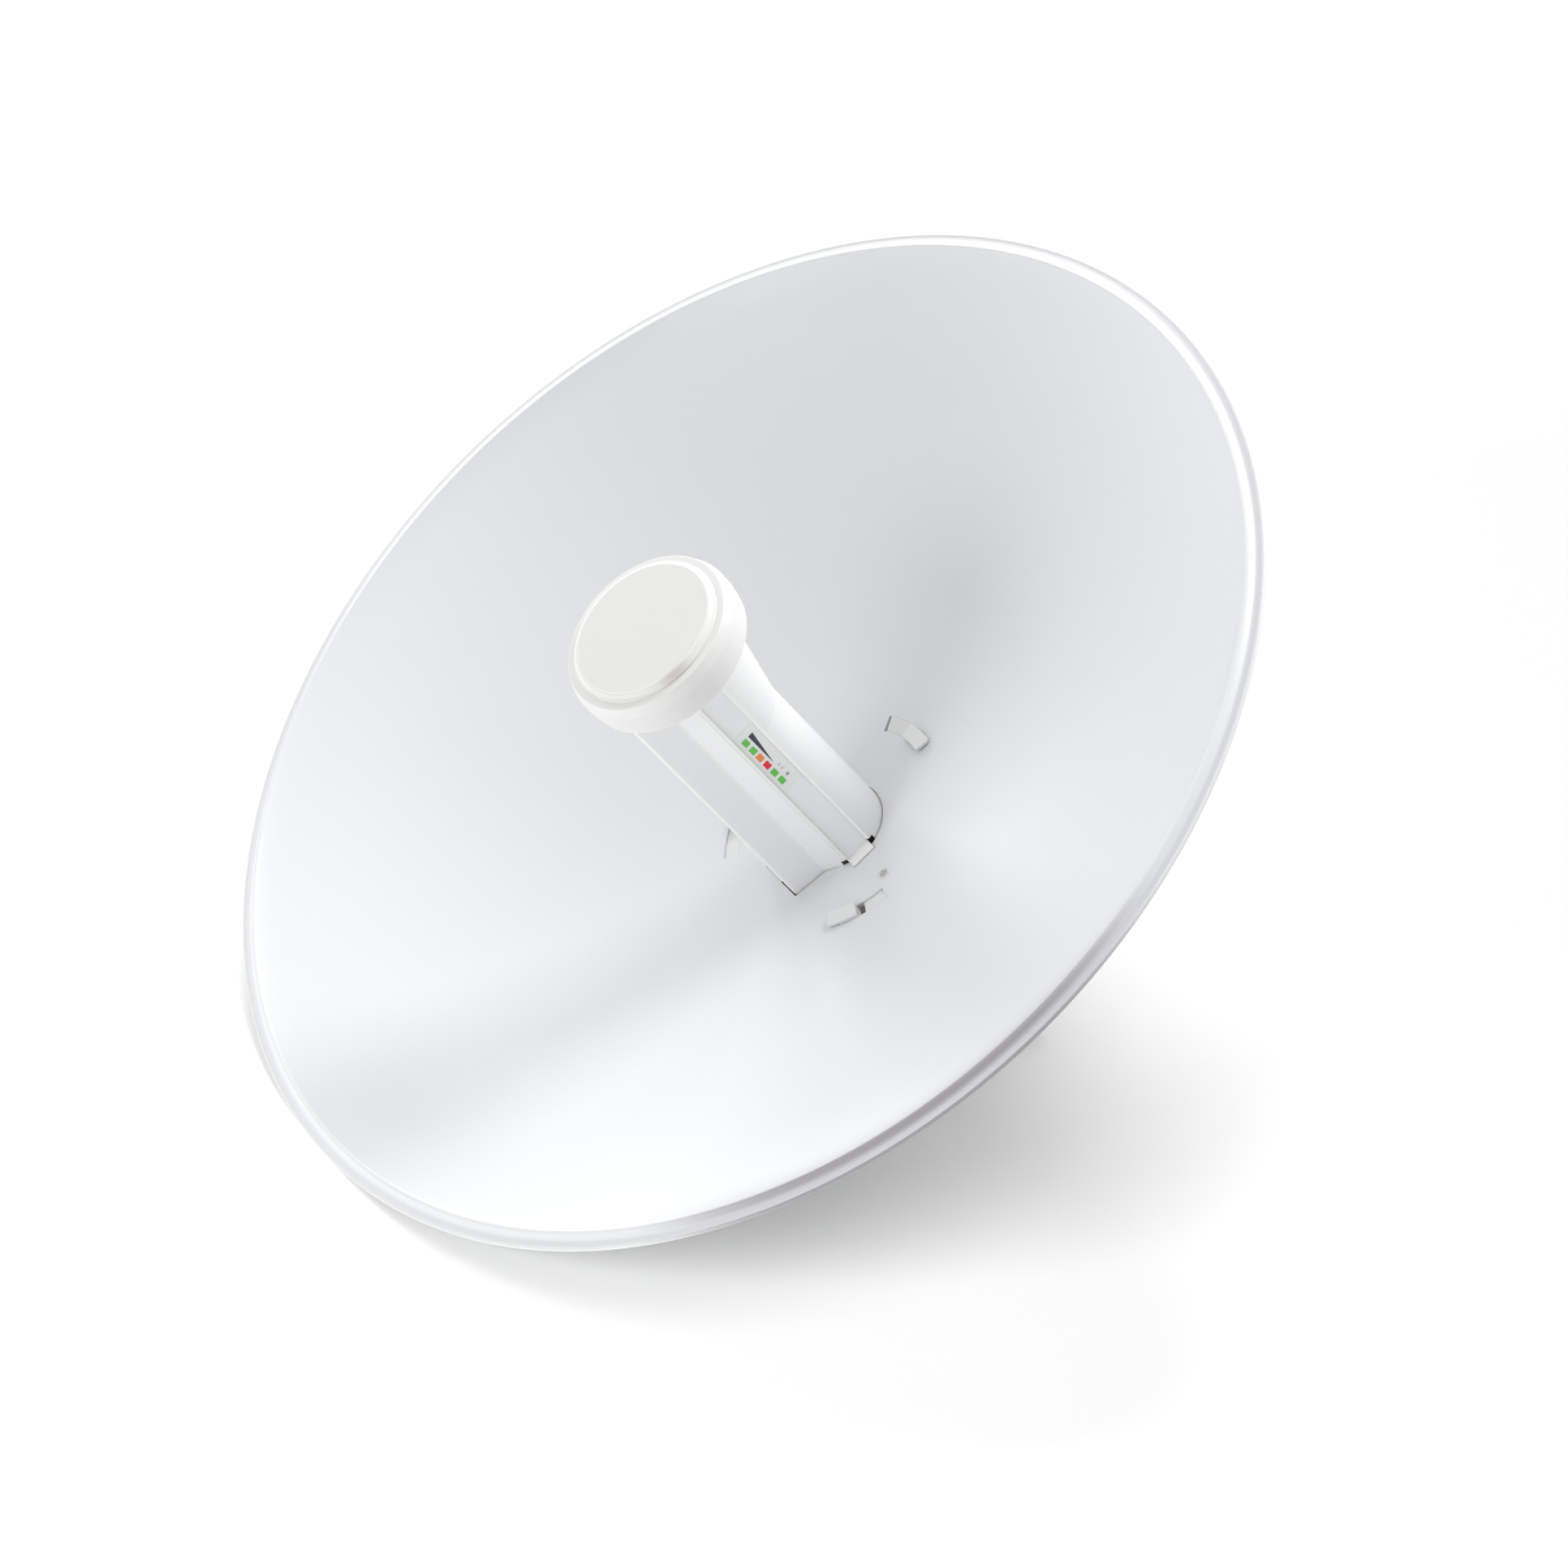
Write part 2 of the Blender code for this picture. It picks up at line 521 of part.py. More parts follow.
def make_tilt_bolts():
    # A hexagon bolt and nut at the pivot and at the lock, with a washer under each.
    outside = KNUCKLE_HALF_X + GAP + YOKE_SHEET + GAP
    head = outside + WASHER_THICK + GAP
    end = head + HEX_THICK
    for name, place in (("pivot", PIVOT_Y), ("lock", LOCK_Y)):
        start, tip = (-head - HEX_THICK / 2, place, TILT_Z), (end + BOLT_PROUD, place, TILT_Z)
        bolt = rod(f"{name}_bolt", BOLT_RADIUS, start, tip)
        hexagon = rod(f"{name}_head", HEX_RADIUS, (-end, place, TILT_Z), (-head, place, TILT_Z), 6, cutters)
        combine(bolt, hexagon, "UNION")
        paint(bolt, ZINC, 0.35, 0.9)
        bore = cross_bore(f"{name}_bore", place, end)
        nut = rod(f"{name}_nut", HEX_RADIUS, (head, place, TILT_Z), (end, place, TILT_Z), 6)
        combine(paint(nut, ZINC, 0.35, 0.9), bore, "DIFFERENCE")
        for side, hand in ((-1, "left"), (1, "right")):
            near, far = (side * outside, place, TILT_Z), (side * (outside + WASHER_THICK), place, TILT_Z)
            washer = rod(f"{name}_washer_{hand}", WASHER_RADIUS, near, far)
            combine(paint(washer, ZINC, 0.35, 0.9), bore, "DIFFERENCE")


def vee(opening, floor):
    # The toothed V from the right lip to the left one: opening and floor are heights along Z.
    run = (VEE_HALF - VEE_FLOOR) / VEE_TEETH
    rise = (floor - opening) / VEE_TEETH
    right = []
    for tooth in range(VEE_TEETH):
        x, z = VEE_HALF - run * tooth, opening + rise * tooth
        crest = z + rise * TOOTH_LEAN - math.copysign(TOOTH, rise)
        right += [(x, z), (x - run * TOOTH_LEAN, crest)]
    right.append((VEE_FLOOR, floor))
    return right + [(-x, z) for x, z in reversed(right)]


def make_jaw(name, back, front, half_y, opening, floor):
    # back is the jaw's plain side, and front the side with the V.
    outline = [(-JAW_HALF_X, back), (JAW_HALF_X, back), (JAW_HALF_X, front)]
    outline += vee(opening, floor) + [(-JAW_HALF_X, front)]
    jaw = paint(plate(name, outline, -half_y, half_y, ALONG_Y), ZINC, 0.45, 0.8)
    for side, hand in ((-1, "left"), (1, "right")):
        combine(jaw, mast_bore(f"{name}_bore_{hand}", side), "DIFFERENCE")


def make_clamp():
    make_jaw("clamp_front_jaw", YOKE_BACK - GAP, FRONT_JAW_BACK, FRONT_JAW_HALF_Y,
             FRONT_JAW_BACK, FRONT_JAW_BACK + VEE_DEPTH)
    make_jaw("clamp_rear_jaw", REAR_JAW_BACK, REAR_JAW_FRONT, REAR_JAW_HALF_Y,
             REAR_JAW_FRONT, REAR_JAW_FRONT - VEE_DEPTH)
    seat = YOKE_BACK + YOKE_SHEET + GAP
    top = REAR_JAW_BACK - GAP
    for side, hand in ((-1, "left"), (1, "right")):
        place = side * CARRIAGE_X
        profile = [(CARRIAGE_HEAD * math.sin(angle), seat + CARRIAGE_HEAD_THICK * math.cos(angle))
                   for angle in (math.pi / 2 * step / 5 for step in range(6))]
        profile += [(BOLT_RADIUS, seat), (BOLT_RADIUS, CARRIAGE_END + BOLT_CHAMFER)]
        profile += [(BOLT_RADIUS - BOLT_CHAMFER, CARRIAGE_END), (0, CARRIAGE_END)]
        bolt = paint(turned(f"carriage_bolt_{hand}", profile, 24), ZINC, 0.35, 0.9)
        bolt.location.x = place
        nut = rod(f"flange_nut_{hand}", HEX_RADIUS, (place, 0, top - GAP), (place, 0, top - NUT_THICK), 6)
        low, high = (place, 0, top - WASHER_THICK), (place, 0, top)
        flange = rod(f"nut_flange_{hand}", WASHER_RADIUS, low, high, 24, cutters)
        combine(nut, flange, "UNION")
        combine(nut, mast_bore(f"nut_bore_{hand}", side), "DIFFERENCE")
        paint(nut, ZINC, 0.35, 0.9)


def lean_back():
    # The floor touches the rim's curled edge and the lower back edge of the rear jaw. The antenna is turned
    # about X, and then moved so that its box stands on the origin.
    edge = Vector((RIM_CURL - RIM_RADIUS, RIM_PLANE - RIM_LOW - RIM_CURL))
    jaw = Vector((-REAR_JAW_HALF_Y, REAR_JAW_BACK))
    lean = math.atan2(jaw.x - edge.x, edge.y - jaw.y)
    across, up = math.sin(lean), math.cos(lean)
    floor = edge.x * up + edge.y * across
    front = -RIM_RADIUS * across - (RIM_PLANE - RIM_DROP) * up
    back = RIM_RADIUS * across - (RIM_PLANE - RIM_LOW) * up
    antenna.rotation_euler = (math.pi / 2 - lean, 0, 0)
    antenna.location = (0, -(front + back) / 2, -floor)


antenna = bpy.data.objects.new("antenna", None)
bpy.context.scene.collection.objects.link(antenna)
make_reflector()
make_feed_shell()
make_feed_keel()
make_strips()
make_cap()
make_housing()
make_gland()
make_port_cover()
make_yoke()
make_tilt_bolts()
make_clamp()
lean_back()
bpy.context.view_layer.update()
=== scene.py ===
# Looks of the wireless bridge dish antenna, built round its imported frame.
import json
import math

import bmesh
import bpy
from mathutils import Matrix, Vector

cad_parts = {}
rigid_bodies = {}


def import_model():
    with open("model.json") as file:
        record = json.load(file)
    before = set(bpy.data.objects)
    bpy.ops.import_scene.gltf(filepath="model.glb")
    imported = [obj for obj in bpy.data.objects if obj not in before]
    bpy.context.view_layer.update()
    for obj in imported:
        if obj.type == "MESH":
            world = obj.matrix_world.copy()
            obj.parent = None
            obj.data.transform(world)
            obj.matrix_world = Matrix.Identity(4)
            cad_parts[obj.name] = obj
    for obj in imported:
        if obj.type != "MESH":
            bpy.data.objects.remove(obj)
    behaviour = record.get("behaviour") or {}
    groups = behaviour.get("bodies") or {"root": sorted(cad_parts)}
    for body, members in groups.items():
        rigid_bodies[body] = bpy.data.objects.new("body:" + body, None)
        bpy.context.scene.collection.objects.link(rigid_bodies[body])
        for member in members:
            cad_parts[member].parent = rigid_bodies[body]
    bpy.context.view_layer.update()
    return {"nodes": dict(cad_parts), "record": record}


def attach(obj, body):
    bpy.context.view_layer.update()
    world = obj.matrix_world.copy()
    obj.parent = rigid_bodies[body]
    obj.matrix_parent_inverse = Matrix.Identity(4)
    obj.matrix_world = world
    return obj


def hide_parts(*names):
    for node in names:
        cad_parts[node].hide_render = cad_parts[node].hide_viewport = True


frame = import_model()
print("frame loaded,", len(frame["nodes"]), "nodes")

# The antenna's own axes: x towards the light strip, y up the dish, z out of the bowl. Pieces are drawn in
# millimetres from the bowl's lowest point, and the clamp's right land tells where that is.
clampLand = {"name": "mast_land_right", "place": (26, 0, -68)}
land = next(mount for mount in frame["record"]["mounts"] if mount["name"] == clampLand["name"])
outOfBowl = -Vector(land["axis"]).normalized()
across = Vector((1, 0, 0))
upDish = outOfBowl.cross(across)
turned = Matrix((across, upDish, outOfBowl)).transposed()
bowlBottom = Vector(land["pos_m"]) - turned @ Vector(clampLand["place"]) / 1000
toWorld = Matrix.Translation(bowlBottom) @ turned.to_4x4() @ Matrix.Scale(0.001, 4)
lean = turned.to_euler()


# Shader maths: a wire takes + - * and /, and each adds its Math node
class Wire:
    def __init__(self, paint, socket):
        self.paint = paint
        self.socket = socket

    def maths(self, operation, first, second):
        return self.paint.add("ShaderNodeMath", {"operation": operation}, {0: first, 1: second})

    def __add__(self, other):
        return self.maths("ADD", self, other)

    __radd__ = __add__

    def __sub__(self, other):
        return self.maths("SUBTRACT", self, other)

    def __mul__(self, other):
        return self.maths("MULTIPLY", self, other)

    def __truediv__(self, other):
        return self.maths("DIVIDE", self, other)


class Paint:
    # A material under construction. add() makes a node, its settings first and then its sockets.
    def __init__(self, name, colour, roughness, metallic=0.0):
        self.material = bpy.data.materials.new(name)
        self.material.use_nodes = True
        self.nodes = self.material.node_tree.nodes
        self.links = self.material.node_tree.links
        self.shader = self.nodes["Principled BSDF"]
        self.set("Base Color", (*colour, 1))
        self.set("Roughness", roughness)
        self.set("Metallic", metallic)

    def plug(self, node, socket, value):
        if isinstance(value, Wire):
            self.links.new(value.socket, node.inputs[socket])
        else:
            node.inputs[socket].default_value = value

    def set(self, socket, value):
        self.plug(self.shader, socket, value)

    def add(self, kind, settings=None, sockets=None, output=0):
        node = self.nodes.new(kind)
        for name, value in (settings or {}).items():
            if name == "stops":
                self.setStops(node.color_ramp, value)
            else:
                setattr(node, name, value)
        for name, value in (sockets or {}).items():
            self.plug(node, name, value)
        return Wire(self, node.outputs[output])

    @staticmethod
    def setStops(ramp, stops):
        while len(ramp.elements) < len(stops):
            ramp.elements.new(1)
        for element, (place, colour) in zip(ramp.elements, stops):
            element.position = place
            element.color = colour

    def antennaCoordinates(self):
        # Millimetres on the antenna's own axes
        place = self.add("ShaderNodeTexCoord", output=3)
        settings = {"vector_type": "TEXTURE"}
        sockets = {"Vector": place, "Location": bowlBottom, "Rotation": lean, "Scale": (0.001, 0.001, 0.001)}
        return self.add("ShaderNodeMapping", settings, sockets)

    def noise(self, place, scale, detail):
        return self.add("ShaderNodeTexNoise", None, {"Vector": place, "Scale": scale, "Detail": detail})

    def mixColours(self, share, first, second):
        sockets = {"Factor": share, 6: first, 7: second}
        return self.add("ShaderNodeMix", {"data_type": "RGBA"}, sockets, output=2)

    def bump(self, height, strength, distance):
        sockets = {"Height": height, "Strength": strength, "Distance": distance}
        return self.add("ShaderNodeBump", None, sockets)


# Finishes

# The noises that every finish shares, their scales per millimetre
surface = {"drift": 0.02, "gloss": 0.11, "driftDetail": 3, "grainDetail": 2, "bump": 0.5}


def makePlain(name, colour, roughness, grain, depth, spread=0.05, metallic=0.0):
    # A finish of one tone, with a fine grain in the surface and faint drifts of gloss
    paint = Paint(name, colour, roughness, metallic)
    place = paint.antennaCoordinates()
    gloss = paint.noise(place, surface["gloss"], surface["driftDetail"]) - 0.5
    paint.set("Roughness", roughness + gloss * (2 * spread))
    paint.set("Normal", paint.bump(paint.noise(place, grain, surface["grainDetail"]), surface["bump"], depth))
    return paint


def makeFinish(name, colour, roughness, grain, depth, mottle=0.02, spread=0.05, metallic=0.0):
    # A moulded, painted or plated finish, with faint drifts of tone too
    paint = makePlain(name, colour, roughness, grain, depth, spread, metallic)
    deep = tuple(channel * (1 - 2 * mottle) for channel in colour)
    drift = paint.noise(paint.antennaCoordinates(), surface["drift"], surface["driftDetail"])
    paint.set("Base Color", paint.mixColours(drift, (*deep, 1), (*colour, 1)))
    return paint


# Kinds of surface: the grain's scale per millimetre, and its depth in metres
powder = {"roughness": 0.36, "grain": 0.9, "depth": 0.00002}
glossy = {"roughness": 0.34, "grain": 3.0, "depth": 0.00001}
textured = {"grain": 2.5, "depth": 0.00003}
rubbery = {"grain": 2.0, "depth": 0.00002}
smooth = {"grain": 4.0, "depth": 0.000004}
capTone = (0.785, 0.785, 0.775)

powderCoat = makeFinish("powderCoat", (0.74, 0.745, 0.75), mottle=0.01, **powder)
tubeWhite = makeFinish("tubeWhite", (0.835, 0.838, 0.841), mottle=0.008, **glossy)
# A lighter copy of the tube's white: painted light on the keel's facets
keelPaintedLightWhite = makeFinish("keelPaintedLightWhite", (0.90, 0.902, 0.905), mottle=0.008, **glossy)
capWhite = makeFinish("capWhite", capTone, mottle=0.008, **glossy)
faceWhite = makeFinish("faceWhite", (0.725, 0.723, 0.70), 0.42, 4.0, 0.00001, mottle=0.006)
filmGrey = makeFinish("filmGrey", (0.90, 0.90, 0.90), 0.30, 5.0, 0.000004, mottle=0.006)
housingWhite = makeFinish("housingWhite", (0.80, 0.805, 0.81), 0.5, **textured)
coverGrey = makeFinish("coverGrey", (0.45, 0.46, 0.47), 0.55, **textured)
sealBlack = makeFinish("sealBlack", (0.025, 0.025, 0.027), 0.62, 1.5, 0.00004)
zincSheet = makeFinish("zincSheet", (0.60, 0.61, 0.62), 0.38, 0.6, 0.00003, 0.06, 0.10, metallic=1.0)
zincBolt = makeFinish("zincBolt", (0.66, 0.665, 0.67), 0.30, 1.2, 0.00002, 0.05, 0.08, metallic=1.0)

# A lighter copy of the tube's white: painted light on the lit strip, while the strip on the far side keeps
# the tube's white
stripPaintedLightWhite = makeFinish("stripPaintedLightWhite", (0.93, 0.932, 0.935), 0.32, 4.0, 0.000006, mottle=0.006)
bandWhite = makeFinish("bandWhite", (0.93, 0.932, 0.935), 0.34, mottle=0.004, **smooth)
markGrey = makeFinish("markGrey", (0.05, 0.055, 0.06), 0.4, **smooth)
markSoft = makeFinish("markSoft", (0.38, 0.37, 0.39), 0.45, **smooth)
# Near black brown: painted shade in the pockets behind the feed's notches
notchShadeBrown = makeFinish("notchShadeBrown", (0.07, 0.052, 0.048), 0.7, **rubbery)
# Dark brown: painted shade in one slot's core hole
coreShadeBrown = makeFinish("coreShadeBrown", (0.20, 0.155, 0.145), 0.6, **rubbery)
sealGrey = makeFinish("sealGrey", (0.52, 0.505, 0.50), 0.6, **rubbery)
# Whiter than the tube's white: painted highlights along the feed's edges
edgeHighlightWhite = makeFinish("edgeHighlightWhite", (0.93, 0.932, 0.935), 0.3, mottle=0.004, **smooth)
lugWhite = makeFinish("lugWhite", (0.765, 0.77, 0.775), 0.45, 2.5, 0.00002)
plugGrey = makeFinish("plugGrey", (0.47, 0.47, 0.46), 0.5, **rubbery)
lensColours = {"green": (0.15, 0.62, 0.09), "orange": (0.93, 0.29, 0.06), "red": (0.88, 0.02, 0.035)}
lensFinishes = {name: makeFinish("lens" + name.title(), colour, 0.28, mottle=0.03, **smooth)
                for name, colour in lensColours.items()}
print("finishes made")


# Modelling helpers: every piece is drawn in millimetres on the antenna's own axes

alongX = Matrix(((0, 0, 1, 0), (1, 0, 0, 0), (0, 1, 0, 0), (0, 0, 0, 1)))      # drawn as (y, z)
alongDown = Matrix(((1, 0, 0, 0), (0, 0, -1, 0), (0, 1, 0, 0), (0, 0, 0, 1)))  # drawn z points down the dish


def arcPoints(centre, radius, start, end, count):
    angles = [math.radians(start + (end - start) * step / count) for step in range(count + 1)]
    return [(centre[0] + radius * math.cos(angle), centre[1] + radius * math.sin(angle)) for angle in angles]


def circle(centre, radius, count):
    # A closed outline, so its last point stops short of the first
    return arcPoints(centre, radius, 0, 360 - 360 / count, count - 1)


def mirrored(right):
    # A closed outline from its right half, which runs from top to bottom
    return right + [(-x, y) for x, y in reversed(right) if x > 0.001]


def roundedRectangle(centre, size, radius):
    x, y = centre
    right, up = size[0] / 2 - radius, size[1] / 2 - radius
    corners = ((right, up), (-right, up), (-right, -up), (right, -up))
    outline = []
    for number, (dx, dy) in enumerate(corners):
        outline += arcPoints((x + dx, y + dy), radius, 90 * number, 90 * number + 90, 4)
    return outline


def drawLine(bm, points, closed):
    verts = [bm.verts.new(point) for point in points]
    edges = [bm.edges.new(pair) for pair in zip(verts, verts[1:])]
    if closed:
        edges.append(bm.edges.new((verts[-1], verts[0])))
    return verts, edges


weldGap = {"drawn": 0.0008, "packed": 0.002}


def mend(bm):
    bmesh.ops.remove_doubles(bm, verts=bm.verts, dist=weldGap["drawn"])
    bmesh.ops.recalc_face_normals(bm, faces=bm.faces)
    return bm


def spinProfile(profile, steps, closed=False):
    # A turned shape about Z, from (radius, height) points
    bm = bmesh.new()
    verts, edges = drawLine(bm, [(radius, 0, height) for radius, height in profile], closed)
    bmesh.ops.spin(bm, geom=verts + edges, cent=(0, 0, 0), axis=(0, 0, 1), dvec=(0, 0, 0),
                   angle=2 * math.pi, steps=steps, use_merge=True)
    return mend(bm)


def raiseOutline(outline, levels, reshape=None):
    # An outline lifted through its levels along Z. reshape moves each new ring's points.
    bm = bmesh.new()
    ring, edges = drawLine(bm, [(x, y, levels[0]) for x, y in outline], True)
    bmesh.ops.edgeloop_fill(bm, edges=edges)
    for low, high in zip(levels, levels[1:]):
        grown = bmesh.ops.extrude_edge_only(bm, edges=edges)["geom"]
        ring = [item for item in grown if isinstance(item, bmesh.types.BMVert)]
        edges = [item for item in grown if isinstance(item, bmesh.types.BMEdge)]
        bmesh.ops.translate(bm, verts=ring, vec=(0, 0, high - low))
        if reshape:
            reshape(ring, low, high)
    bmesh.ops.edgeloop_fill(bm, edges=edges)
    return mend(bm)


def block(low, high):
    low, high = Vector(low), Vector(high)
    size = Matrix.Diagonal((*(high - low), 1))
    bm = bmesh.new()
    bmesh.ops.create_cube(bm, size=1, matrix=Matrix.Translation((low + high) / 2) @ size)
    return bm


def placed(bm, matrix):
    bmesh.ops.transform(bm, matrix=matrix, verts=bm.verts)
    return bm


def bevelSharp(bm, width, segments=2, angle=35, chosen=None):
    edges = [edge for edge in bm.edges if edge.is_manifold and edge.calc_face_angle() > math.radians(angle)]
    if chosen:
        edges = [edge for edge in edges if chosen(edge)]
    bmesh.ops.bevel(bm, geom=edges, offset=width, offset_type="OFFSET", segments=segments, profile=0.5,
                    affect="EDGES", clamp_overlap=True, material=-1)
    return bm


def toMesh(bm, name):
    mesh = bpy.data.meshes.new(name)
    bm.to_mesh(mesh)
    bm.free()
    return mesh


def addObject(name, data):
    added = bpy.data.objects.new(name, data)
    bpy.context.scene.collection.objects.link(added)
    return added


def joined(*shapes):
    # Several shapes in one mesh, side by side
    bm = shapes[0]
    for shape in shapes[1:]:
        mesh = toMesh(shape, "joined")
        bm.from_mesh(mesh)
        bpy.data.meshes.remove(mesh)
    return bm


def combined(bm, tool, operation="DIFFERENCE"):
    # The shape cut by the tool, or fused with it
    objects = [addObject("shape", toMesh(source, "shape")) for source in (bm, tool)]
    boolean = objects[0].modifiers.new("cut", "BOOLEAN")
    boolean.operation = operation
    boolean.object = objects[1]
    evaluated = objects[0].evaluated_get(bpy.context.evaluated_depsgraph_get())
    result = bmesh.new()
    result.from_mesh(evaluated.to_mesh())
    evaluated.to_mesh_clear()
    for item in objects:
        mesh = item.data
        bpy.data.objects.remove(item)
        bpy.data.meshes.remove(mesh)
    return result


def nodeShape(name):
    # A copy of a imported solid, its triangles merged into faces
    bm = bmesh.new()
    bm.from_mesh(frame["nodes"][name].data)
    placed(bm, toWorld.inverted())
    bmesh.ops.remove_doubles(bm, verts=bm.verts, dist=weldGap["packed"])
    bmesh.ops.dissolve_limit(bm, angle_limit=math.radians(1), verts=bm.verts, edges=bm.edges)
    return bm


def finishPiece(name, bm, finish, nodes=(), sharp=35, weighted=True):
    mesh = toMesh(placed(bm, toWorld), name)
    mesh.shade_smooth()
    mesh.set_sharp_from_angle(angle=math.radians(sharp))
    mesh.materials.append(finish.material)
    piece = addObject(name, mesh)
    if weighted:
        piece.modifiers.new("edges", "WEIGHTED_NORMAL").keep_sharp = True
    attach(piece, "root")
    if nodes:
        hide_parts(*nodes)
    return piece


# Reflector

dish = {"bowlRadius": 201, "bowlDepth": 72.5, "sheet": 1.5, "start": 15, "hubRadius": 66, "hubRing": 1.5,
        "bowlRing": 5, "steps": 240,
        "rimPlane": 73.2, "rimRadius": 210, "crest": (203.8, 75.2), "crestRound": 0.8, "rise": 46,
        "groove": (207.2, 73.1), "grooveEnd": (208.6, 72.95), "lipRadius": 209.4, "curl": 0.45,
        "edgeLow": 1.3, "hollow": 1.1, "underStart": 1, "underEnd": 0.4, "cutReach": 12, "alike": 0.97}
# Twist lock: three arc slots in the bowl, and where they start and end in degrees
lock = {"inner": 40.2, "outer": 46.2, "slotStart": 88, "slotEnd": 114, "turns": (0, 120, 240)}
pin = {"place": 34.7, "hole": 1.6, "gap": 0.2, "lip": 0.55, "skirt": 0.3, "sink": 0.1,
       "face": 0.3, "side": 0.1, "chamfer": 0.15, "deep": 1.2, "steps": 40}
feed = {"radius": 18.4, "flatTop": 4.4, "flatLow": -5.6, "coreHalf": 13.7, "low": -14, "top": 118.2,
        "flareStart": 74, "flareEase": 3, "flareReach": 26,
        "shoulder": 16.6, "neck": (11, -14.2), "foot": 10.2, "bottom": -27.8,
        "stripFace": 16, "stripFoot": 20.6, "stripFootTop": 1.2, "stripEdge": 0.12,
        "gap": 0.3, "holeGrow": 0.5, "holeMeet": 14}
keelTop = feed["flatLow"] - feed["gap"]


def bowlHeight(radius):
    return dish["bowlDepth"] * (radius / dish["bowlRadius"]) ** 2


def bowlSlope(radius):
    return 2 * dish["bowlDepth"] * radius / dish["bowlRadius"] ** 2


def bowlBack(radius):
    return bowlHeight(radius) - dish["sheet"] * math.sqrt(1 + bowlSlope(radius) ** 2)


def easedRun(start, end, count):
    # A soft S between two points of a profile, its start left out
    shares = [step / count for step in range(1, count + 1)]
    (inner, low), (outer, high) = start, end
    return [(inner + (outer - inner) * share, low + (high - low) * (1 - math.cos(math.pi * share)) / 2)
            for share in shares]


def evenly(start, end, step):
    count = round((end - start) / step)
    return [start + (end - start) * index / count for index in range(count + 1)]


def grooveAt(radius, height, half, depth):
    return [(radius, height + half), (radius - depth, height), (radius, height - half)]


def sector(inner, outer, start, end, count=10):
    return arcPoints((0, 0), inner, start, end, count) + arcPoints((0, 0), outer, end, start, count)


def feedHole(grow):
    # The outline of the whole feed at its foot, strips and keel too
    foot, neck = feed["stripFoot"] + grow, feed["neck"]
    right = arcPoints((0, 0), feed["radius"] + grow, 90, feed["holeMeet"], 24)
    right += [(foot, feed["flatTop"] + grow / 2), (foot, feed["flatLow"] - grow / 2)]
    right += [(feed["shoulder"] + grow, feed["flatLow"] - grow), (neck[0] + grow, neck[1] - grow)]
    right += [(feed["foot"] + grow, feed["bottom"] - grow)]
    return mirrored(right)


def rimProfile(start):
    # From the bowl's edge over the bead, the groove and the lip, and back under the hollow bead
    plane, rim, curl = dish["rimPlane"], dish["rimRadius"], dish["curl"]
    crest, turn = dish["crest"], dish["crestRound"]
    edge = arcPoints((crest[0], crest[1] - turn), turn, 90 + dish["rise"], 70, 8)
    edge += easedRun(edge[-1], dish["groove"], 10) + [dish["grooveEnd"]]
    edge += easedRun(dish["grooveEnd"], (dish["lipRadius"], plane), 4)
    edge += arcPoints((rim - curl, plane - curl), curl, 80, 0, 4)
    edge += arcPoints((rim - curl, plane - dish["edgeLow"] + curl), curl, 0, -90, 4)
    hollow = dish["sheet"] * dish["hollow"]
    under = [(dish["bowlRadius"] + dish["underStart"], start - hollow)]
    under += easedRun(under[0], (crest[0], crest[1] - hollow), 5)
    under += easedRun(under[-1], (dish["groove"][0] - dish["underEnd"], plane - dish["edgeLow"]), 6)
    return edge + under[::-1]


def makeDish():
    radii = evenly(dish["start"], dish["hubRadius"], dish["hubRing"])
    radii += evenly(dish["hubRadius"], dish["bowlRadius"], dish["bowlRing"])[1:]
    front = [(radius, bowlHeight(radius)) for radius in radii]
    back = [(radius, bowlBack(radius)) for radius in reversed(radii)]
    bowl = spinProfile(front + rimProfile(front[-1][1]) + back, dish["steps"], closed=True)

    levels = (-dish["cutReach"], dish["cutReach"])
    cuts = [raiseOutline(feedHole(feed["holeGrow"]), levels)]
    for turn in lock["turns"]:
        outline = sector(lock["inner"], lock["outer"], lock["slotStart"] + turn, lock["slotEnd"] + turn)
        cuts.append(raiseOutline(outline, levels))
    cuts.append(raiseOutline(circle((pin["place"], 0), pin["hole"], 24), levels))
    bowl = combined(bowl, joined(*cuts))
    piece = finishPiece("dishBowl", bowl, makeShadedDishCoat(), ["dish_reflector"], weighted=False)
    polishBowl(piece.data)


def polishBowl(mesh):
    # The bowl's own normals, so that the cuts round the hub leave no ripples in its sheen
    toLocal = toWorld.inverted()
    fromWorld = turned.transposed()
    places = [toLocal @ vert.co for vert in mesh.vertices]
    curve = 2 * dish["bowlDepth"] / dish["bowlRadius"] ** 2
    ideal = [Vector((-curve * place.x, -curve * place.y, 1)).normalized() for place in places]
    normals = [corner.vector.copy() for corner in mesh.corner_normals]
    for polygon in mesh.polygons:
        if any(places[index].xy.length > dish["bowlRadius"] - 1 for index in polygon.vertices):
            continue
        alike = (fromWorld @ polygon.normal).dot(ideal[polygon.vertices[0]])
        if abs(alike) < dish["alike"]:
            continue
        for corner, index in zip(polygon.loop_indices, polygon.vertices):
            normals[corner] = turned @ ideal[index] * math.copysign(1, alike)
    mesh.normals_split_custom_set(normals)
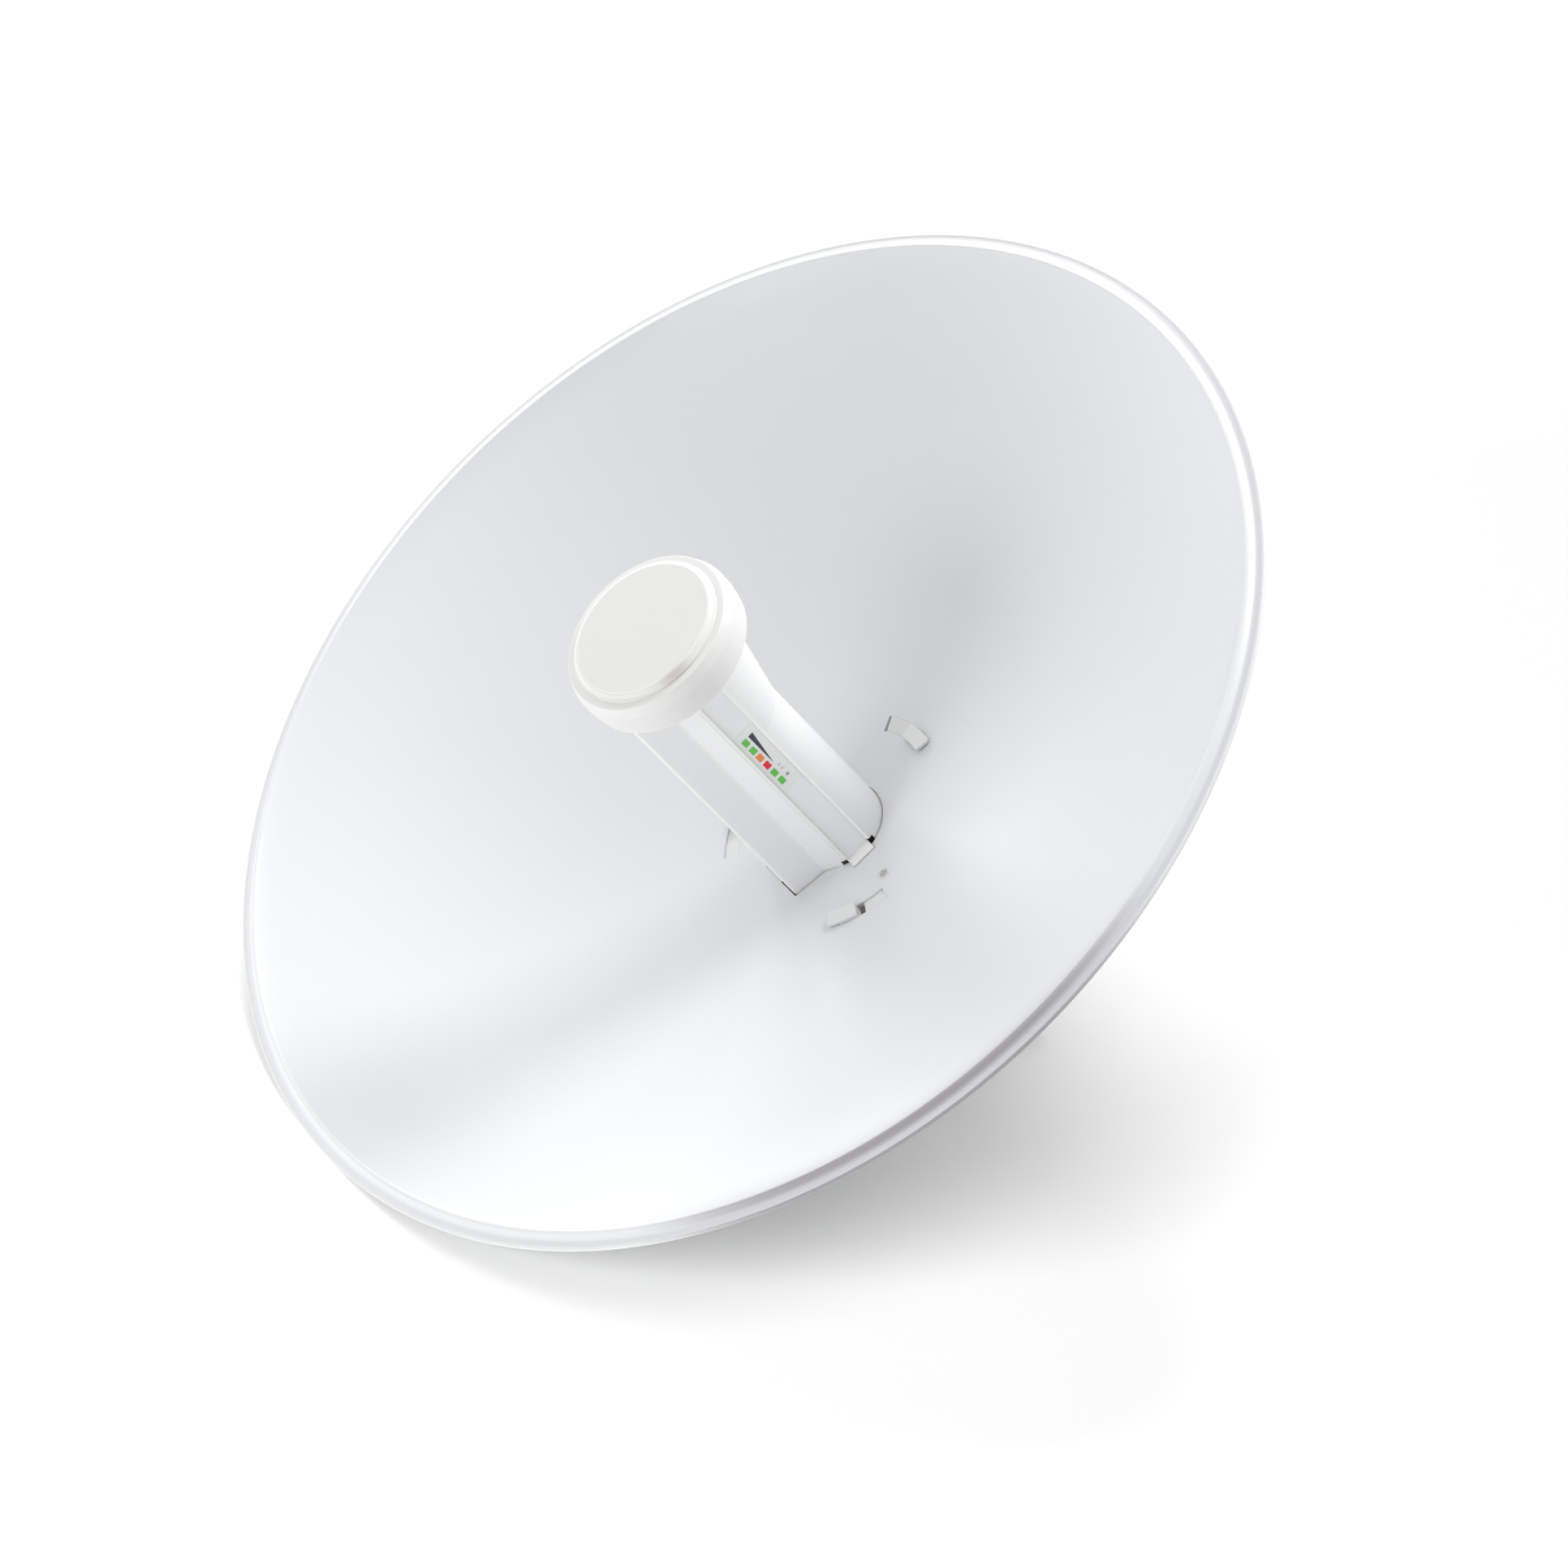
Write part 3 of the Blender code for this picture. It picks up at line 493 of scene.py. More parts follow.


# Painted light and shade on the rim. Each mark has its turn in degrees, where it fades in along the rim by
# the cosine from that turn, and its strength by radius.
rimPaintedShading = {"clean": (0.734, 0.743, 0.752, 1), "pale": (0.82, 0.83, 0.838, 1), "grey": (0.63, 0.635, 0.65, 1),
            "dark": (0.37, 0.355, 0.375, 1), "margin": (0.1, 0.5),
            # The first mark is painted light: a paler band on the bead at the rim's foot
            "worn": {"turn": 282, "fade": (0.25, 0.75), "bands": ((202.7, 0), (203.8, 1))},
            # The second mark is painted shade: greyer in the rim's groove on its right side
            "groove": {"turn": 42, "fade": (0.55, 0.9),
                       "bands": ((206.2, 0), (206.8, 1), (208.3, 1), (208.8, 0))},
            # The third mark is painted shade: darker over the bead and lip on the side that rests towards the
            # floor
            "rest": {"turn": -14, "fade": (0.84, 0.985),
                     "bands": ((186, 0), (194, 0.1), (201, 0.36), (203.2, 0.7), (204.2, 1), (205.6, 0.9),
                               (207, 0.25), (208.7, 0.2), (209.2, 1))}}


def makeShadedDishCoat():
    # The powder coat with painted light and shade on its rim: a painted highlight at the rim's foot, painted
    # shade greyer in its groove on one side and darker on the side it rests on
    clean = rimPaintedShading["clean"]
    paint = makePlain("dishCoatPaintedShading", clean[:3], **powder)
    place = paint.antennaCoordinates()
    flat = paint.add("ShaderNodeVectorMath", {"operation": "MULTIPLY"}, {0: place, 1: (1, 1, 0)})
    radius = paint.add("ShaderNodeVectorMath", {"operation": "LENGTH"}, {0: flat}, output=1)

    # How much of one mark of painted light or shade falls at each point of the rim
    def paintedShadingShare(turn, fade, bands):
        turn = math.radians(turn)
        low, high = bands[0][0] - rimPaintedShading["margin"][0], dish["rimRadius"] + rimPaintedShading["margin"][1]
        along = paint.add("ShaderNodeMapRange", None, {0: radius, 1: low, 2: high})
        stops = [((edge - low) / (high - low), (share, share, share, 1)) for edge, share in bands]
        band = paint.add("ShaderNodeValToRGB", {"stops": stops}, {"Fac": along})
        sockets = {0: flat, 1: (math.cos(turn), math.sin(turn), 0)}
        toward = paint.add("ShaderNodeVectorMath", {"operation": "DOT_PRODUCT"}, sockets, output=1) / radius
        settings = {"interpolation_type": "SMOOTHSTEP"}
        return band * paint.add("ShaderNodeMapRange", settings, {0: toward, 1: fade[0], 2: fade[1]})

    colour = paint.mixColours(paintedShadingShare(**rimPaintedShading["worn"]), clean, rimPaintedShading["pale"])
    colour = paint.mixColours(paintedShadingShare(**rimPaintedShading["groove"]), colour, rimPaintedShading["grey"])
    paint.set("Base Color", paint.mixColours(paintedShadingShare(**rimPaintedShading["rest"]), colour, rimPaintedShading["dark"]))
    return paint


def makePinBoss():
    # A small pressed lip round the pin hole, and the pin's grey end in it
    place, hole, lip, skirt = pin["place"], pin["hole"] + pin["gap"], pin["lip"], pin["skirt"]
    centre = Vector((place, 0, bowlHeight(place) - pin["sink"]))
    lift = Vector((-bowlSlope(place), 0, 1)).to_track_quat("Z", "Y").to_matrix().to_4x4()
    spot = Matrix.Translation(centre) @ lift
    ring = arcPoints((hole + lip, 0), lip, 180, 0, 8) + [(hole + 2 * lip, -skirt), (hole, -skirt)]
    ring = spinProfile(ring, pin["steps"], closed=True)
    finishPiece("pinHoleLip", placed(ring, spot), powderCoat)
    side, deep = hole - pin["side"], -pin["deep"]
    end = [(0, 0), (hole - pin["face"], 0), (side, -pin["chamfer"]), (side, deep), (0, deep)]
    finishPiece("pinEnd", placed(spinProfile(end, pin["steps"]), spot), plugGrey)


# Feed

notch = {"depth": 2.4, "top": 2.8, "near": 13.2, "far": 21, "past": 1}
keel = {"topHalf": 14, "out": 0.2, "facet": 0.9, "neckBends": ((0.62, 0.72), (0.16, 0.02), (-0.06, -0.95)),
        "footRound": 1.5, "rib": {"gap": 0.05, "start": 5, "into": 0.2, "drop": 0.1}}
# The edges over and under the strips, whiter than the tube as painted highlights. Run, hidden and cover are
# shares of the chamfer's width.
feedEdge = {"wide": 0.95, "run": 0.75, "hidden": 1.2, "cover": 0.5, "sink": 0.03, "proud": 0.04,
            "bead": 0.45, "beadPlace": (0.12, 0.05)}


def tubeSide():
    # The right half of the round back, from the top down to the chamfer over the strip
    radius, foot = feed["radius"], feed["flatTop"] + feedEdge["wide"]
    meet = math.degrees(math.asin(foot / radius))
    chamfer = (math.sqrt(radius ** 2 - foot ** 2) - feedEdge["run"] * feedEdge["wide"], feed["flatTop"])
    return arcPoints((0, 0), radius, 90, meet, 24) + [chamfer]


def keelSide():
    # The right side of the keel: a slanted facet, the neck and the round foot
    out, turn = feed["shoulder"] + keel["out"], keel["footRound"]
    side = [(out, keelTop), (out, keelTop - keel["facet"])]
    side += [(feed["neck"][0] + dx, feed["neck"][1] + dy) for dx, dy in keel["neckBends"]]
    return side + arcPoints((feed["foot"] - turn, feed["bottom"] + turn), turn, 0, -90, 6)


def flareShare(height):
    # How far the back is stretched at this height of the tube
    past = height - feed["flareStart"]
    ease = feed["flareEase"]
    rise = 0 if past < -ease else past if past > ease else (past + ease) ** 2 / (4 * ease)
    full = (feed["flareReach"] - feed["flatTop"]) / (feed["radius"] - feed["flatTop"]) - 1
    return 1 + full * rise / (feed["top"] - feed["flareStart"])


def stretchRing(ring, low, high):
    change = flareShare(high) / flareShare(low)
    for vert in ring:
        if vert.co.y > feed["flatTop"]:
            vert.co.y = feed["flatTop"] + (vert.co.y - feed["flatTop"]) * change


def flareLevels(low):
    start, ease = feed["flareStart"], feed["flareEase"]
    return [low] + evenly(start - ease, start + ease, 1) + [feed["top"]]


def cutNotches(bm, low, high):
    # A small window through the wall beside each strip's foot
    for side in (-1, 1):
        near, far = sorted((side * notch["near"], side * notch["far"]))
        bm = combined(bm, block((near, low, feed["low"] - notch["past"]), (far, high, notch["top"])))
    return bm


def makeFeedShell():
    right = tubeSide() + [(feed["coreHalf"], feed["flatTop"]), (feed["coreHalf"], feed["flatLow"])]
    shell = raiseOutline(mirrored(right), flareLevels(feed["low"]), stretchRing)
    shell = cutNotches(shell, feed["flatTop"] - notch["past"], feed["flatTop"] + notch["depth"])
    finishPiece("feedShell", shell, tubeWhite, ["feed_shell"])


def makeFeedKeel():
    outline = mirrored([(0, keelTop), (keel["topHalf"], keelTop)] + keelSide())
    shape = raiseOutline(outline, (feed["low"], feed["top"]))
    shape = cutNotches(shape, feed["flatLow"] - notch["depth"], feed["flatLow"] + notch["past"])
    # A rib under the keel fills the left half of the bowl's hole
    bottom, rib = feed["bottom"], keel["rib"]
    out = feed["holeGrow"] - rib["gap"]
    filler = block((-feed["foot"], bottom - out, feed["low"] + rib["start"]),
                   (0, bottom + rib["into"], bowlHeight(bottom) - rib["drop"]))
    finishPiece("feedKeel", joined(shape, filler), keelPaintedLightWhite, ["feed_keel"])


def makeFeedEdgeHighlights():
    # Painted highlights on the edges that frame the strips: the back's chamfer above and a bead on the keel
    # below
    wide, (beadOut, beadUp) = feedEdge["wide"], feedEdge["beadPlace"]
    high, foot = feed["flatTop"] + wide, feed["flatTop"] - feedEdge["sink"]
    out = math.sqrt(feed["radius"] ** 2 - high ** 2) + feedEdge["proud"]
    upper = [(out, high), (out - feedEdge["run"] * wide, foot), (out - feedEdge["hidden"] * wide, foot),
             (out - feedEdge["cover"] * wide, high)]
    lower = circle((feed["shoulder"] + beadOut, keelTop + beadUp), feedEdge["bead"], 24)
    edges = []
    for side in (-1, 1):
        for outline, reshape in ((upper, stretchRing), (lower, None)):
            outline = [(side * x, y) for x, y in outline]
            edges.append(raiseOutline(outline, flareLevels(notch["top"]), reshape))
    finishPiece("feedEdgeHighlights", joined(*edges), edgeHighlightWhite)


def stripShape(side):
    inner, face, foot = feed["coreHalf"] + feed["gap"], feed["stripFace"], feed["stripFoot"]
    outline = [(inner, bowlBack(foot)), (foot, bowlBack(foot)), (foot, feed["stripFootTop"]),
               (face, feed["stripFootTop"]), (face, feed["top"]), (inner, feed["top"])]
    levels = (-feed["flatTop"], -keelTop)
    strip = placed(raiseOutline([(side * x, z) for x, z in outline], levels), alongDown)
    return bevelSharp(mend(strip), feed["stripEdge"])


# Label strip with its six lights. Its marks are drawn as (y, z) on the strip's face.
label = {
    "film": {"low": 46.5, "high": 82.6, "bandLow": 40.9, "y": (-5.0, 3.7), "round": 0.3, "thick": 0.12},
    "window": {"size": (2.3, 3.5), "border": 0.42, "y": -2.4, "round": 0.25, "borderRound": 0.35,
               "thick": 0.1, "places": ((77.5, "green"), (72.4, "green"), (67.7, "orange"), (62.7, "red"),
                                       (57.7, "green"), (52.6, "green"))},
    "wedge": {"wide": 79, "tip": 62.3, "y": (-0.15, 1.9), "tipWide": 0.12},
    "chevrons": {"places": (58.7, 56.9), "y": 0.7, "half": 0.55, "line": 0.28},
    "mark": {"place": (0.6, 52.8), "radius": 0.72},
}


def onStrip(outline, height, thick):
    base = feed["stripFace"] + height
    return placed(raiseOutline(outline, (base, base + thick)), alongX)


def printed(outline):
    return onStrip(outline, label["film"]["thick"], label["window"]["thick"])


def makeStrips():
    finishPiece("lightStrip", stripShape(1), stripPaintedLightWhite, ["led_strip"])
    finishPiece("plainStrip", stripShape(-1), tubeWhite, ["plain_strip"])
    film = label["film"]
    width, middle = film["y"][1] - film["y"][0], sum(film["y"]) / 2
    for name, low, high, finish in (("labelFilm", film["low"], film["high"], filmGrey),
                                    ("labelBand", film["bandLow"], film["low"], bandWhite)):
        outline = roundedRectangle((middle, (low + high) / 2), (width, high - low), film["round"])
        finishPiece(name, onStrip(outline, 0, film["thick"]), finish)


def makeLightWindows():
    window, film = label["window"], label["film"]["thick"]
    size, half = window["size"], window["thick"] / 2
    grown = tuple(length + window["border"] for length in size)
    borders = []
    for number, (height, colour) in enumerate(window["places"], 1):
        centre = (window["y"], height)
        borders.append(onStrip(roundedRectangle(centre, grown, window["borderRound"]), film, half))
        lens = onStrip(roundedRectangle(centre, size, window["round"]), film + half, window["thick"])
        finishPiece(f"lightWindow{number}", lens, lensFinishes[colour])
    finishPiece("windowBorders", joined(*borders), bandWhite)


def makeLabelMarks():
    wedge, mark, chevron = label["wedge"], label["mark"], label["chevrons"]
    near, far = wedge["y"]
    outline = [(near, wedge["wide"]), (far, wedge["wide"]), (near + wedge["tipWide"], wedge["tip"]),
               (near, wedge["tip"])]
    finishPiece("strengthWedge", printed(outline), markGrey)
    half, line, y = chevron["half"], chevron["line"], chevron["y"]
    small = []
    for height, way in zip(chevron["places"], (1, -1)):
        foot, crook = height - way * line, height + way * (half - line)
        outline = [(y - half, height), (y, height + way * half), (y + half, height),
                   (y + half, foot), (y, crook), (y - half, foot)]
        small.append(printed(outline))
    small.append(printed(circle(mark["place"], mark["radius"], 24)))
    finishPiece("labelMarks", joined(*small), markSoft)


# The seal in the gap round the feed, and dark blocks of painted shade behind the notches
footSeal = {"gap": 0.05, "low": -1.5, "drop": 0.4, "inner": 0.1, "reach": 5, "open": 2, "openInto": 0.4}
notchShade = {"inset": 0.1, "gap": 0.05, "short": 0.4, "low": -3}


def sinkTop(bm, level, dropAt):
    # The points at this level follow the bowl, a little under its surface
    for vert in bm.verts:
        if abs(vert.co.z - level) < 0.001:
            radius = vert.co.xy.length
            vert.co.z = bowlHeight(radius) - dropAt(radius)


def makeFootSeal():
    # The seal is open under the keel's right half
    reach = footSeal["reach"]
    seal = raiseOutline(feedHole(feed["holeGrow"] - footSeal["gap"]), (footSeal["low"], 0))
    sinkTop(seal, 0, lambda radius: footSeal["drop"])
    seal = combined(seal, raiseOutline(feedHole(footSeal["inner"]), (-reach, reach)))
    opening = block((0, feed["bottom"] - footSeal["open"], -reach),
                    (feed["foot"] + footSeal["open"], feed["bottom"] + footSeal["openInto"], reach))
    finishPiece("footSeal", combined(seal, opening), sealGrey)


# Dark blocks behind the notches: painted shade in the pockets
def makeNotchShadeBlocks():
    inset, gap, depth = notchShade["inset"], notchShade["gap"], notch["depth"]
    top, low = feed["flatTop"], feed["flatLow"]
    rows = ((top + gap, top + depth - inset), (low - depth + inset, keelTop - gap))
    blocks = []
    for side in (-1, 1):
        near, far = sorted((side * (notch["near"] + inset), side * (feed["stripFace"] - notchShade["short"])))
        for start, end in rows:
            blocks.append(block((near, start, notchShade["low"]), (far, end, notch["top"] - inset)))
    finishPiece("notchShadeBlocks", joined(*blocks), notchShadeBrown)


# Cap on the front of the feed: its wall, and its face with the disc let into it
cap = {"radius": 33.2, "low": 118.5, "shoulder": (129.1, 130), "shoulderIn": 0.1, "front": 31.8,
       "edge": 133.6, "round": 0.45, "seat": 130.7, "seatIn": 0.1,
       "step": 0.4, "stepRise": 3, "stepRound": 0.2, "stepSlope": 0.6, "chamfer": 0.9,
       "grooves": (125.9, 127.2), "grooveDepth": 0.1, "grooveHalf": 0.2, "steps": 192}
capFace = {"disc": 26.6, "height": 136, "outer": 28.9, "drop": 1.9, "round": 0.5, "foot": 0.3,
           "sunk": 0.05, "lip": (0.4, 0.3, 0.1), "roundStart": 0.1,
           "inlay": ((0.9, 0), (0.6, 0.04), (0.6, 0.2)), "inlayLow": 0.2}
# A soft brown patch of painted shade on the cap's rounded edge: its centre, full width, fade and colour
capPaintedShade = {"place": (27.9, -3, 134.8), "core": 1, "reach": 9, "colour": (0.63, 0.61, 0.59)}


def makeShadedRingWhite():
    # The cap's white with a soft brown patch of painted shade on its rounded edge
    paint = makePlain("ringWhitePaintedShade", capTone, **glossy)
    away = paint.add("ShaderNodeVectorMath", {"operation": "DISTANCE"},
                     {0: paint.antennaCoordinates(), 1: capPaintedShade["place"]}, output=1)
    share = paint.add("ShaderNodeMapRange", {"interpolation_type": "SMOOTHSTEP"},
                      {0: away, 1: capPaintedShade["core"], 2: capPaintedShade["reach"], 3: 1.0, 4: 0.0})
    paint.set("Base Color", paint.mixColours(share, (*capTone, 1), (*capPaintedShade["colour"], 1)))
    return paint


def makeCapSkirt():
    inner, radius, turn = capFace["outer"] - cap["seatIn"], cap["radius"], cap["round"]
    wall = [(0, cap["seat"]), (inner, cap["seat"]), (inner, cap["edge"])]
    wall += arcPoints((cap["front"] - turn, cap["edge"] - turn), turn, 90, 20, 6)
    wall += [(radius - cap["shoulderIn"], cap["shoulder"][1]), (radius, cap["shoulder"][0])]
    for height in reversed(cap["grooves"]):
        wall += grooveAt(radius, height, cap["grooveHalf"], cap["grooveDepth"])
    soft, step = cap["stepRound"], cap["step"]
    for number in (2, 1):
        height, out = cap["low"] + number * cap["stepRise"], radius - (2 - number) * step
        wall += arcPoints((out - soft, height + soft), soft, 0, -45, 2)
        wall.append((out - step, height - step * cap["stepSlope"]))
    centre = (radius - 2 * step - cap["chamfer"], cap["low"] + cap["chamfer"])
    wall += arcPoints(centre, cap["chamfer"], 0, -90, 5) + [(0, cap["low"])]
    wall = spinProfile(wall, cap["steps"])
    finishPiece("capSkirt", wall, capWhite, ["cap_skirt"], sharp=40)


def makeCapFace():
    top, disc, outer, turn = capFace["height"], capFace["disc"], capFace["outer"], capFace["round"]
    low, sunk, foot = top - capFace["drop"], top - capFace["sunk"], cap["seat"] + capFace["foot"]
    first, second, third = (disc - inset for inset in capFace["lip"])
    face = [(0, sunk), (first, sunk), (second, top)]
    face += easedRun((third, top), (outer - capFace["roundStart"], low + turn), 10)
    face += arcPoints((outer - turn, low), turn, 30, 0, 3) + [(outer, foot), (0, foot)]
    face = spinProfile(face, cap["steps"])
    finishPiece("capRing", face, makeShadedRingWhite(), ["cap_face"], sharp=40)
    inlay = [(0, top)] + [(disc - inset, top - drop) for inset, drop in capFace["inlay"]]
    inlay.append((0, top - capFace["inlayLow"]))
    finishPiece("capDisc", spinProfile(inlay, cap["steps"]), faceWhite, sharp=60)


# Rear housing: a turned cover with a tilt knuckle
housing = {"radius": 50.8, "back": -30, "backRadius": 37, "brim": 5, "chamfer": 0.8, "ring": 3.1,
           "side": ((50.8, -7), (50.2, -10.5), (48, -16), (45.1, -21.8), (41, -27), (39.2, -29.1)),
           "groove": 0.5, "grooveHalf": 0.3, "grooveLip": 0.1, "steps": 144,
           "pocketGap": 0.3, "cutTop": 10, "cutDeep": -60, "boreGap": 0.3, "boreReach": 30,
           "glandSeat": -45, "glandSeatHalf": 11, "glandZ": -14}
knuckle = {"half": (15, 18), "front": -26, "back": -50, "round": 7, "edge": 1.2}
tilt = {"z": -42, "pivotY": 10, "lockY": -10, "bolt": 4}

# The lock's parts that show in the bowl's slots, with their starts and ends in degrees
lug = {"start": 83, "end": 98, "top": 5.4, "thick": 1.3, "proud": 0.6, "root": -3, "insets": (0.3, 0.2),
       "stemStart": 0.5, "stemInto": 0.4, "headPast": 0.1, "blunt": 2.2, "bluntReach": 4, "edge": 0.3}
core = {"start": 98.4, "end": 102, "inset": 0.3, "low": -6}
shelf = {"inset": 0.05, "gap": 0.1, "firstGap": 1.3, "drops": {0: (0.7, 0), 120: (0, 0.9), 240: (0.8, 0)}}
# A dark block in one slot's core hole, painted shade in the deep hole: its slot, inset, shortening and
# heights
coreShade = {"turn": 240, "inset": 0.4, "short": 0.2, "low": -5.7, "top": 1.2}


def lugShapes(turn):
    inner, outer = lock["inner"] + lug["insets"][0], lock["outer"] - lug["insets"][1]
    start, end, headFoot = lug["start"] + turn, lug["end"] + turn, lug["top"] - lug["thick"]
    outline = sector(inner, outer, lock["slotStart"] + lug["stemStart"] + turn, end)
    stem = raiseOutline(outline, (lug["root"], headFoot + lug["stemInto"]))
    outline = sector(inner - lug["proud"], outer, start, end + lug["headPast"])
    head = raiseOutline(outline, (headFoot, lug["top"]))
    middle, blunt = (inner + outer) / 2, math.radians(start)
    bluntEnd = Vector((middle * math.cos(blunt), middle * math.sin(blunt)))

    def atBluntEnd(edge):
        first, second = edge.verts
        upright = abs(first.co.z - second.co.z) > 1
        return upright and (first.co.xy - bluntEnd).length < lug["bluntReach"]

    bevelSharp(head, lug["blunt"], 6, chosen=atBluntEnd)
    return combined(bevelSharp(head, lug["edge"], 3), stem, "UNION")


def housingCover():
    radius, chamfer = housing["radius"], housing["chamfer"]
    front = [(ring, bowlBack(ring) - feed["gap"]) for ring in evenly(0, radius - chamfer, housing["ring"])]
    brim = front[-1][1]
    seam, half = brim - housing["brim"], housing["grooveHalf"]
    side = arcPoints((radius - chamfer, brim - chamfer), chamfer, 75, 0, 4)
    side += [(radius, seam + half), (radius - housing["groove"], seam)]
    side.append((radius - housing["grooveLip"], seam - half))
    side += list(housing["side"]) + [(housing["backRadius"], housing["back"]), (0, housing["back"])]
    cover = spinProfile(front + side, housing["steps"])

    (halfX, halfY), turn, start = knuckle["half"], knuckle["round"], knuckle["front"]
    corner = (halfY - turn, knuckle["back"] + turn)
    outline = [(halfY, start)] + arcPoints(corner, turn, 0, -90, 10)
    outline += arcPoints((-corner[0], corner[1]), turn, -90, -180, 10) + [(-halfY, start)]
    arm = mend(placed(raiseOutline(outline, (-halfX, halfX)), alongX))
    return combined(cover, bevelSharp(arm, knuckle["edge"], 3, angle=60), "UNION")


def makeHousing():
    top, reach, gap = housing["cutTop"], housing["boreReach"], housing["pocketGap"]
    cuts = [raiseOutline(feedHole(gap), (feed["low"] - gap, top))]
    for turn in lock["turns"]:
        outline = sector(lock["inner"] + core["inset"], lock["outer"] - core["inset"],
                         core["start"] + turn, core["end"] + turn, 3)
        cuts.append(raiseOutline(outline, (core["low"], top)))
    for place in (tilt["pivotY"], tilt["lockY"]):
        bore = circle((place, tilt["z"]), tilt["bolt"] + housing["boreGap"], 36)
        cuts.append(placed(raiseOutline(bore, (-reach, reach)), alongX))
    half, middle = housing["glandSeatHalf"], housing["glandZ"]
    low, high = (-half, housing["cutDeep"], middle - half), (half, housing["glandSeat"], middle + half)
    cuts.append(block(low, high))
    cover = combined(housingCover(), joined(*cuts))
    finishPiece("rearHousing", cover, housingWhite, ["rear_housing"], sharp=30)


def makeLock():
    lugs = joined(*(lugShapes(turn) for turn in lock["turns"]))
    finishPiece("lockLugs", lugs, lugWhite)
    inner, outer = lock["inner"], lock["outer"]
    shelves, middle, inset = [], (inner + outer) / 2, shelf["inset"]
    for turn in lock["turns"]:
        start = core["end"] if turn == coreShade["turn"] else lug["end"]
        end = lock["slotEnd"] - (shelf["gap"] if turn else shelf["firstGap"])
        outline = sector(inner + inset, outer - inset, start + turn, end + turn)
        shape = raiseOutline(outline, (lug["root"], 0))
        atInner, atOuter = shelf["drops"][turn]
        sinkTop(shape, 0, lambda radius: atInner if radius < middle else atOuter)
        shelves.append(shape)
    finishPiece("lockShelves", joined(*shelves), lugWhite)
    # Painted shade: a dark block in the core hole of one slot
    outline = sector(inner + coreShade["inset"], outer - coreShade["inset"],
                     core["start"] + coreShade["turn"], core["end"] - coreShade["short"] + coreShade["turn"], 3)
    shape = raiseOutline(outline, (coreShade["low"], coreShade["top"]))
    finishPiece("coreHoleShade", shape, coreShadeBrown)


# Cable gland, port cover and screws
gland = {"length": 12, "flange": 9.4, "flangeThick": 2, "flangeRounds": (0.5, 0.3), "body": 6.7,
         "fillet": (0.4, 0.6), "tip": 5, "tipIn": 0.5, "chamfer": 0.6, "hole": 3.1, "holeDepth": 9,
         "rings": (9.2, 7.4), "ringHalf": 0.35, "ringDepth": 0.45, "steps": 96, "ribs": 18}
glandRib = {"into": 1.1, "proud": 0.25, "half": 0.45, "low": 2.6, "high": 6.2, "edge": 0.25}


def glandProfile():
    tip, hole, body, thick = gland["length"], gland["hole"], gland["body"], gland["flangeThick"]
    floor, chamfer = tip - gland["holeDepth"], gland["chamfer"]
    slope = (gland["tip"] - body) / (tip - thick)
    profile = [(0, floor), (hole, floor), (hole, tip - chamfer), (hole + chamfer, tip)]
    profile += [(gland["tip"] - gland["tipIn"], tip), (gland["tip"], tip - chamfer)]
    for height in gland["rings"]:
        profile += grooveAt(body + slope * (height - thick), height, gland["ringHalf"], gland["ringDepth"])
    profile += [(body, thick + gland["fillet"][1]), (body + gland["fillet"][0], thick)]
    upper, lower = gland["flangeRounds"]
    profile += arcPoints((gland["flange"] - upper, thick - upper), upper, 90, 0, 3)
    return profile + arcPoints((gland["flange"] - lower, lower), lower, 0, -90, 2) + [(0, 0)]


def makeGland():
    half = glandRib["half"]
    low = (gland["body"] - glandRib["into"], -half, glandRib["low"])
    high = (gland["body"] + glandRib["proud"], half, glandRib["high"])
    ribs = []
    for number in range(gland["ribs"]):
        turn = Matrix.Rotation(2 * math.pi * number / gland["ribs"], 4, "Z")
        ribs.append(placed(bevelSharp(block(low, high), glandRib["edge"]), turn))
    place = Matrix.Translation((0, housing["glandSeat"] - feed["gap"], housing["glandZ"])) @ alongDown
    shape = joined(spinProfile(glandProfile(), gland["steps"]), *ribs)
    finishPiece("cableGland", placed(shape, place), sealBlack, ["cable_gland"])


portCover = {"edge": 0.25, "barHalf": 6, "barWide": 0.8, "barLow": -32.25, "barHigh": -31.7, "barEdge": 0.2,
             "bars": (-32.6, -30.8, -29.0)}


def makePortCover():
    half, low, high = portCover["barHalf"], portCover["barLow"], portCover["barHigh"]
    cover = bevelSharp(nodeShape("port_cover"), portCover["edge"], angle=20)
    bars = [bevelSharp(block((-half, y, low), (half, y + portCover["barWide"], high)), portCover["barEdge"])
            for y in portCover["bars"]]
    finishPiece("portCover", joined(cover, *bars), coverGrey, ["port_cover"])


screw = {"radius": 3.2, "rise": 1.7, "round": 1.1, "recess": 0.9, "cross": (1.7, 0.35), "above": 5,
         "steps": 40, "places": ((-27, -15), (27, -15), (-27, 15), (27, 15))}


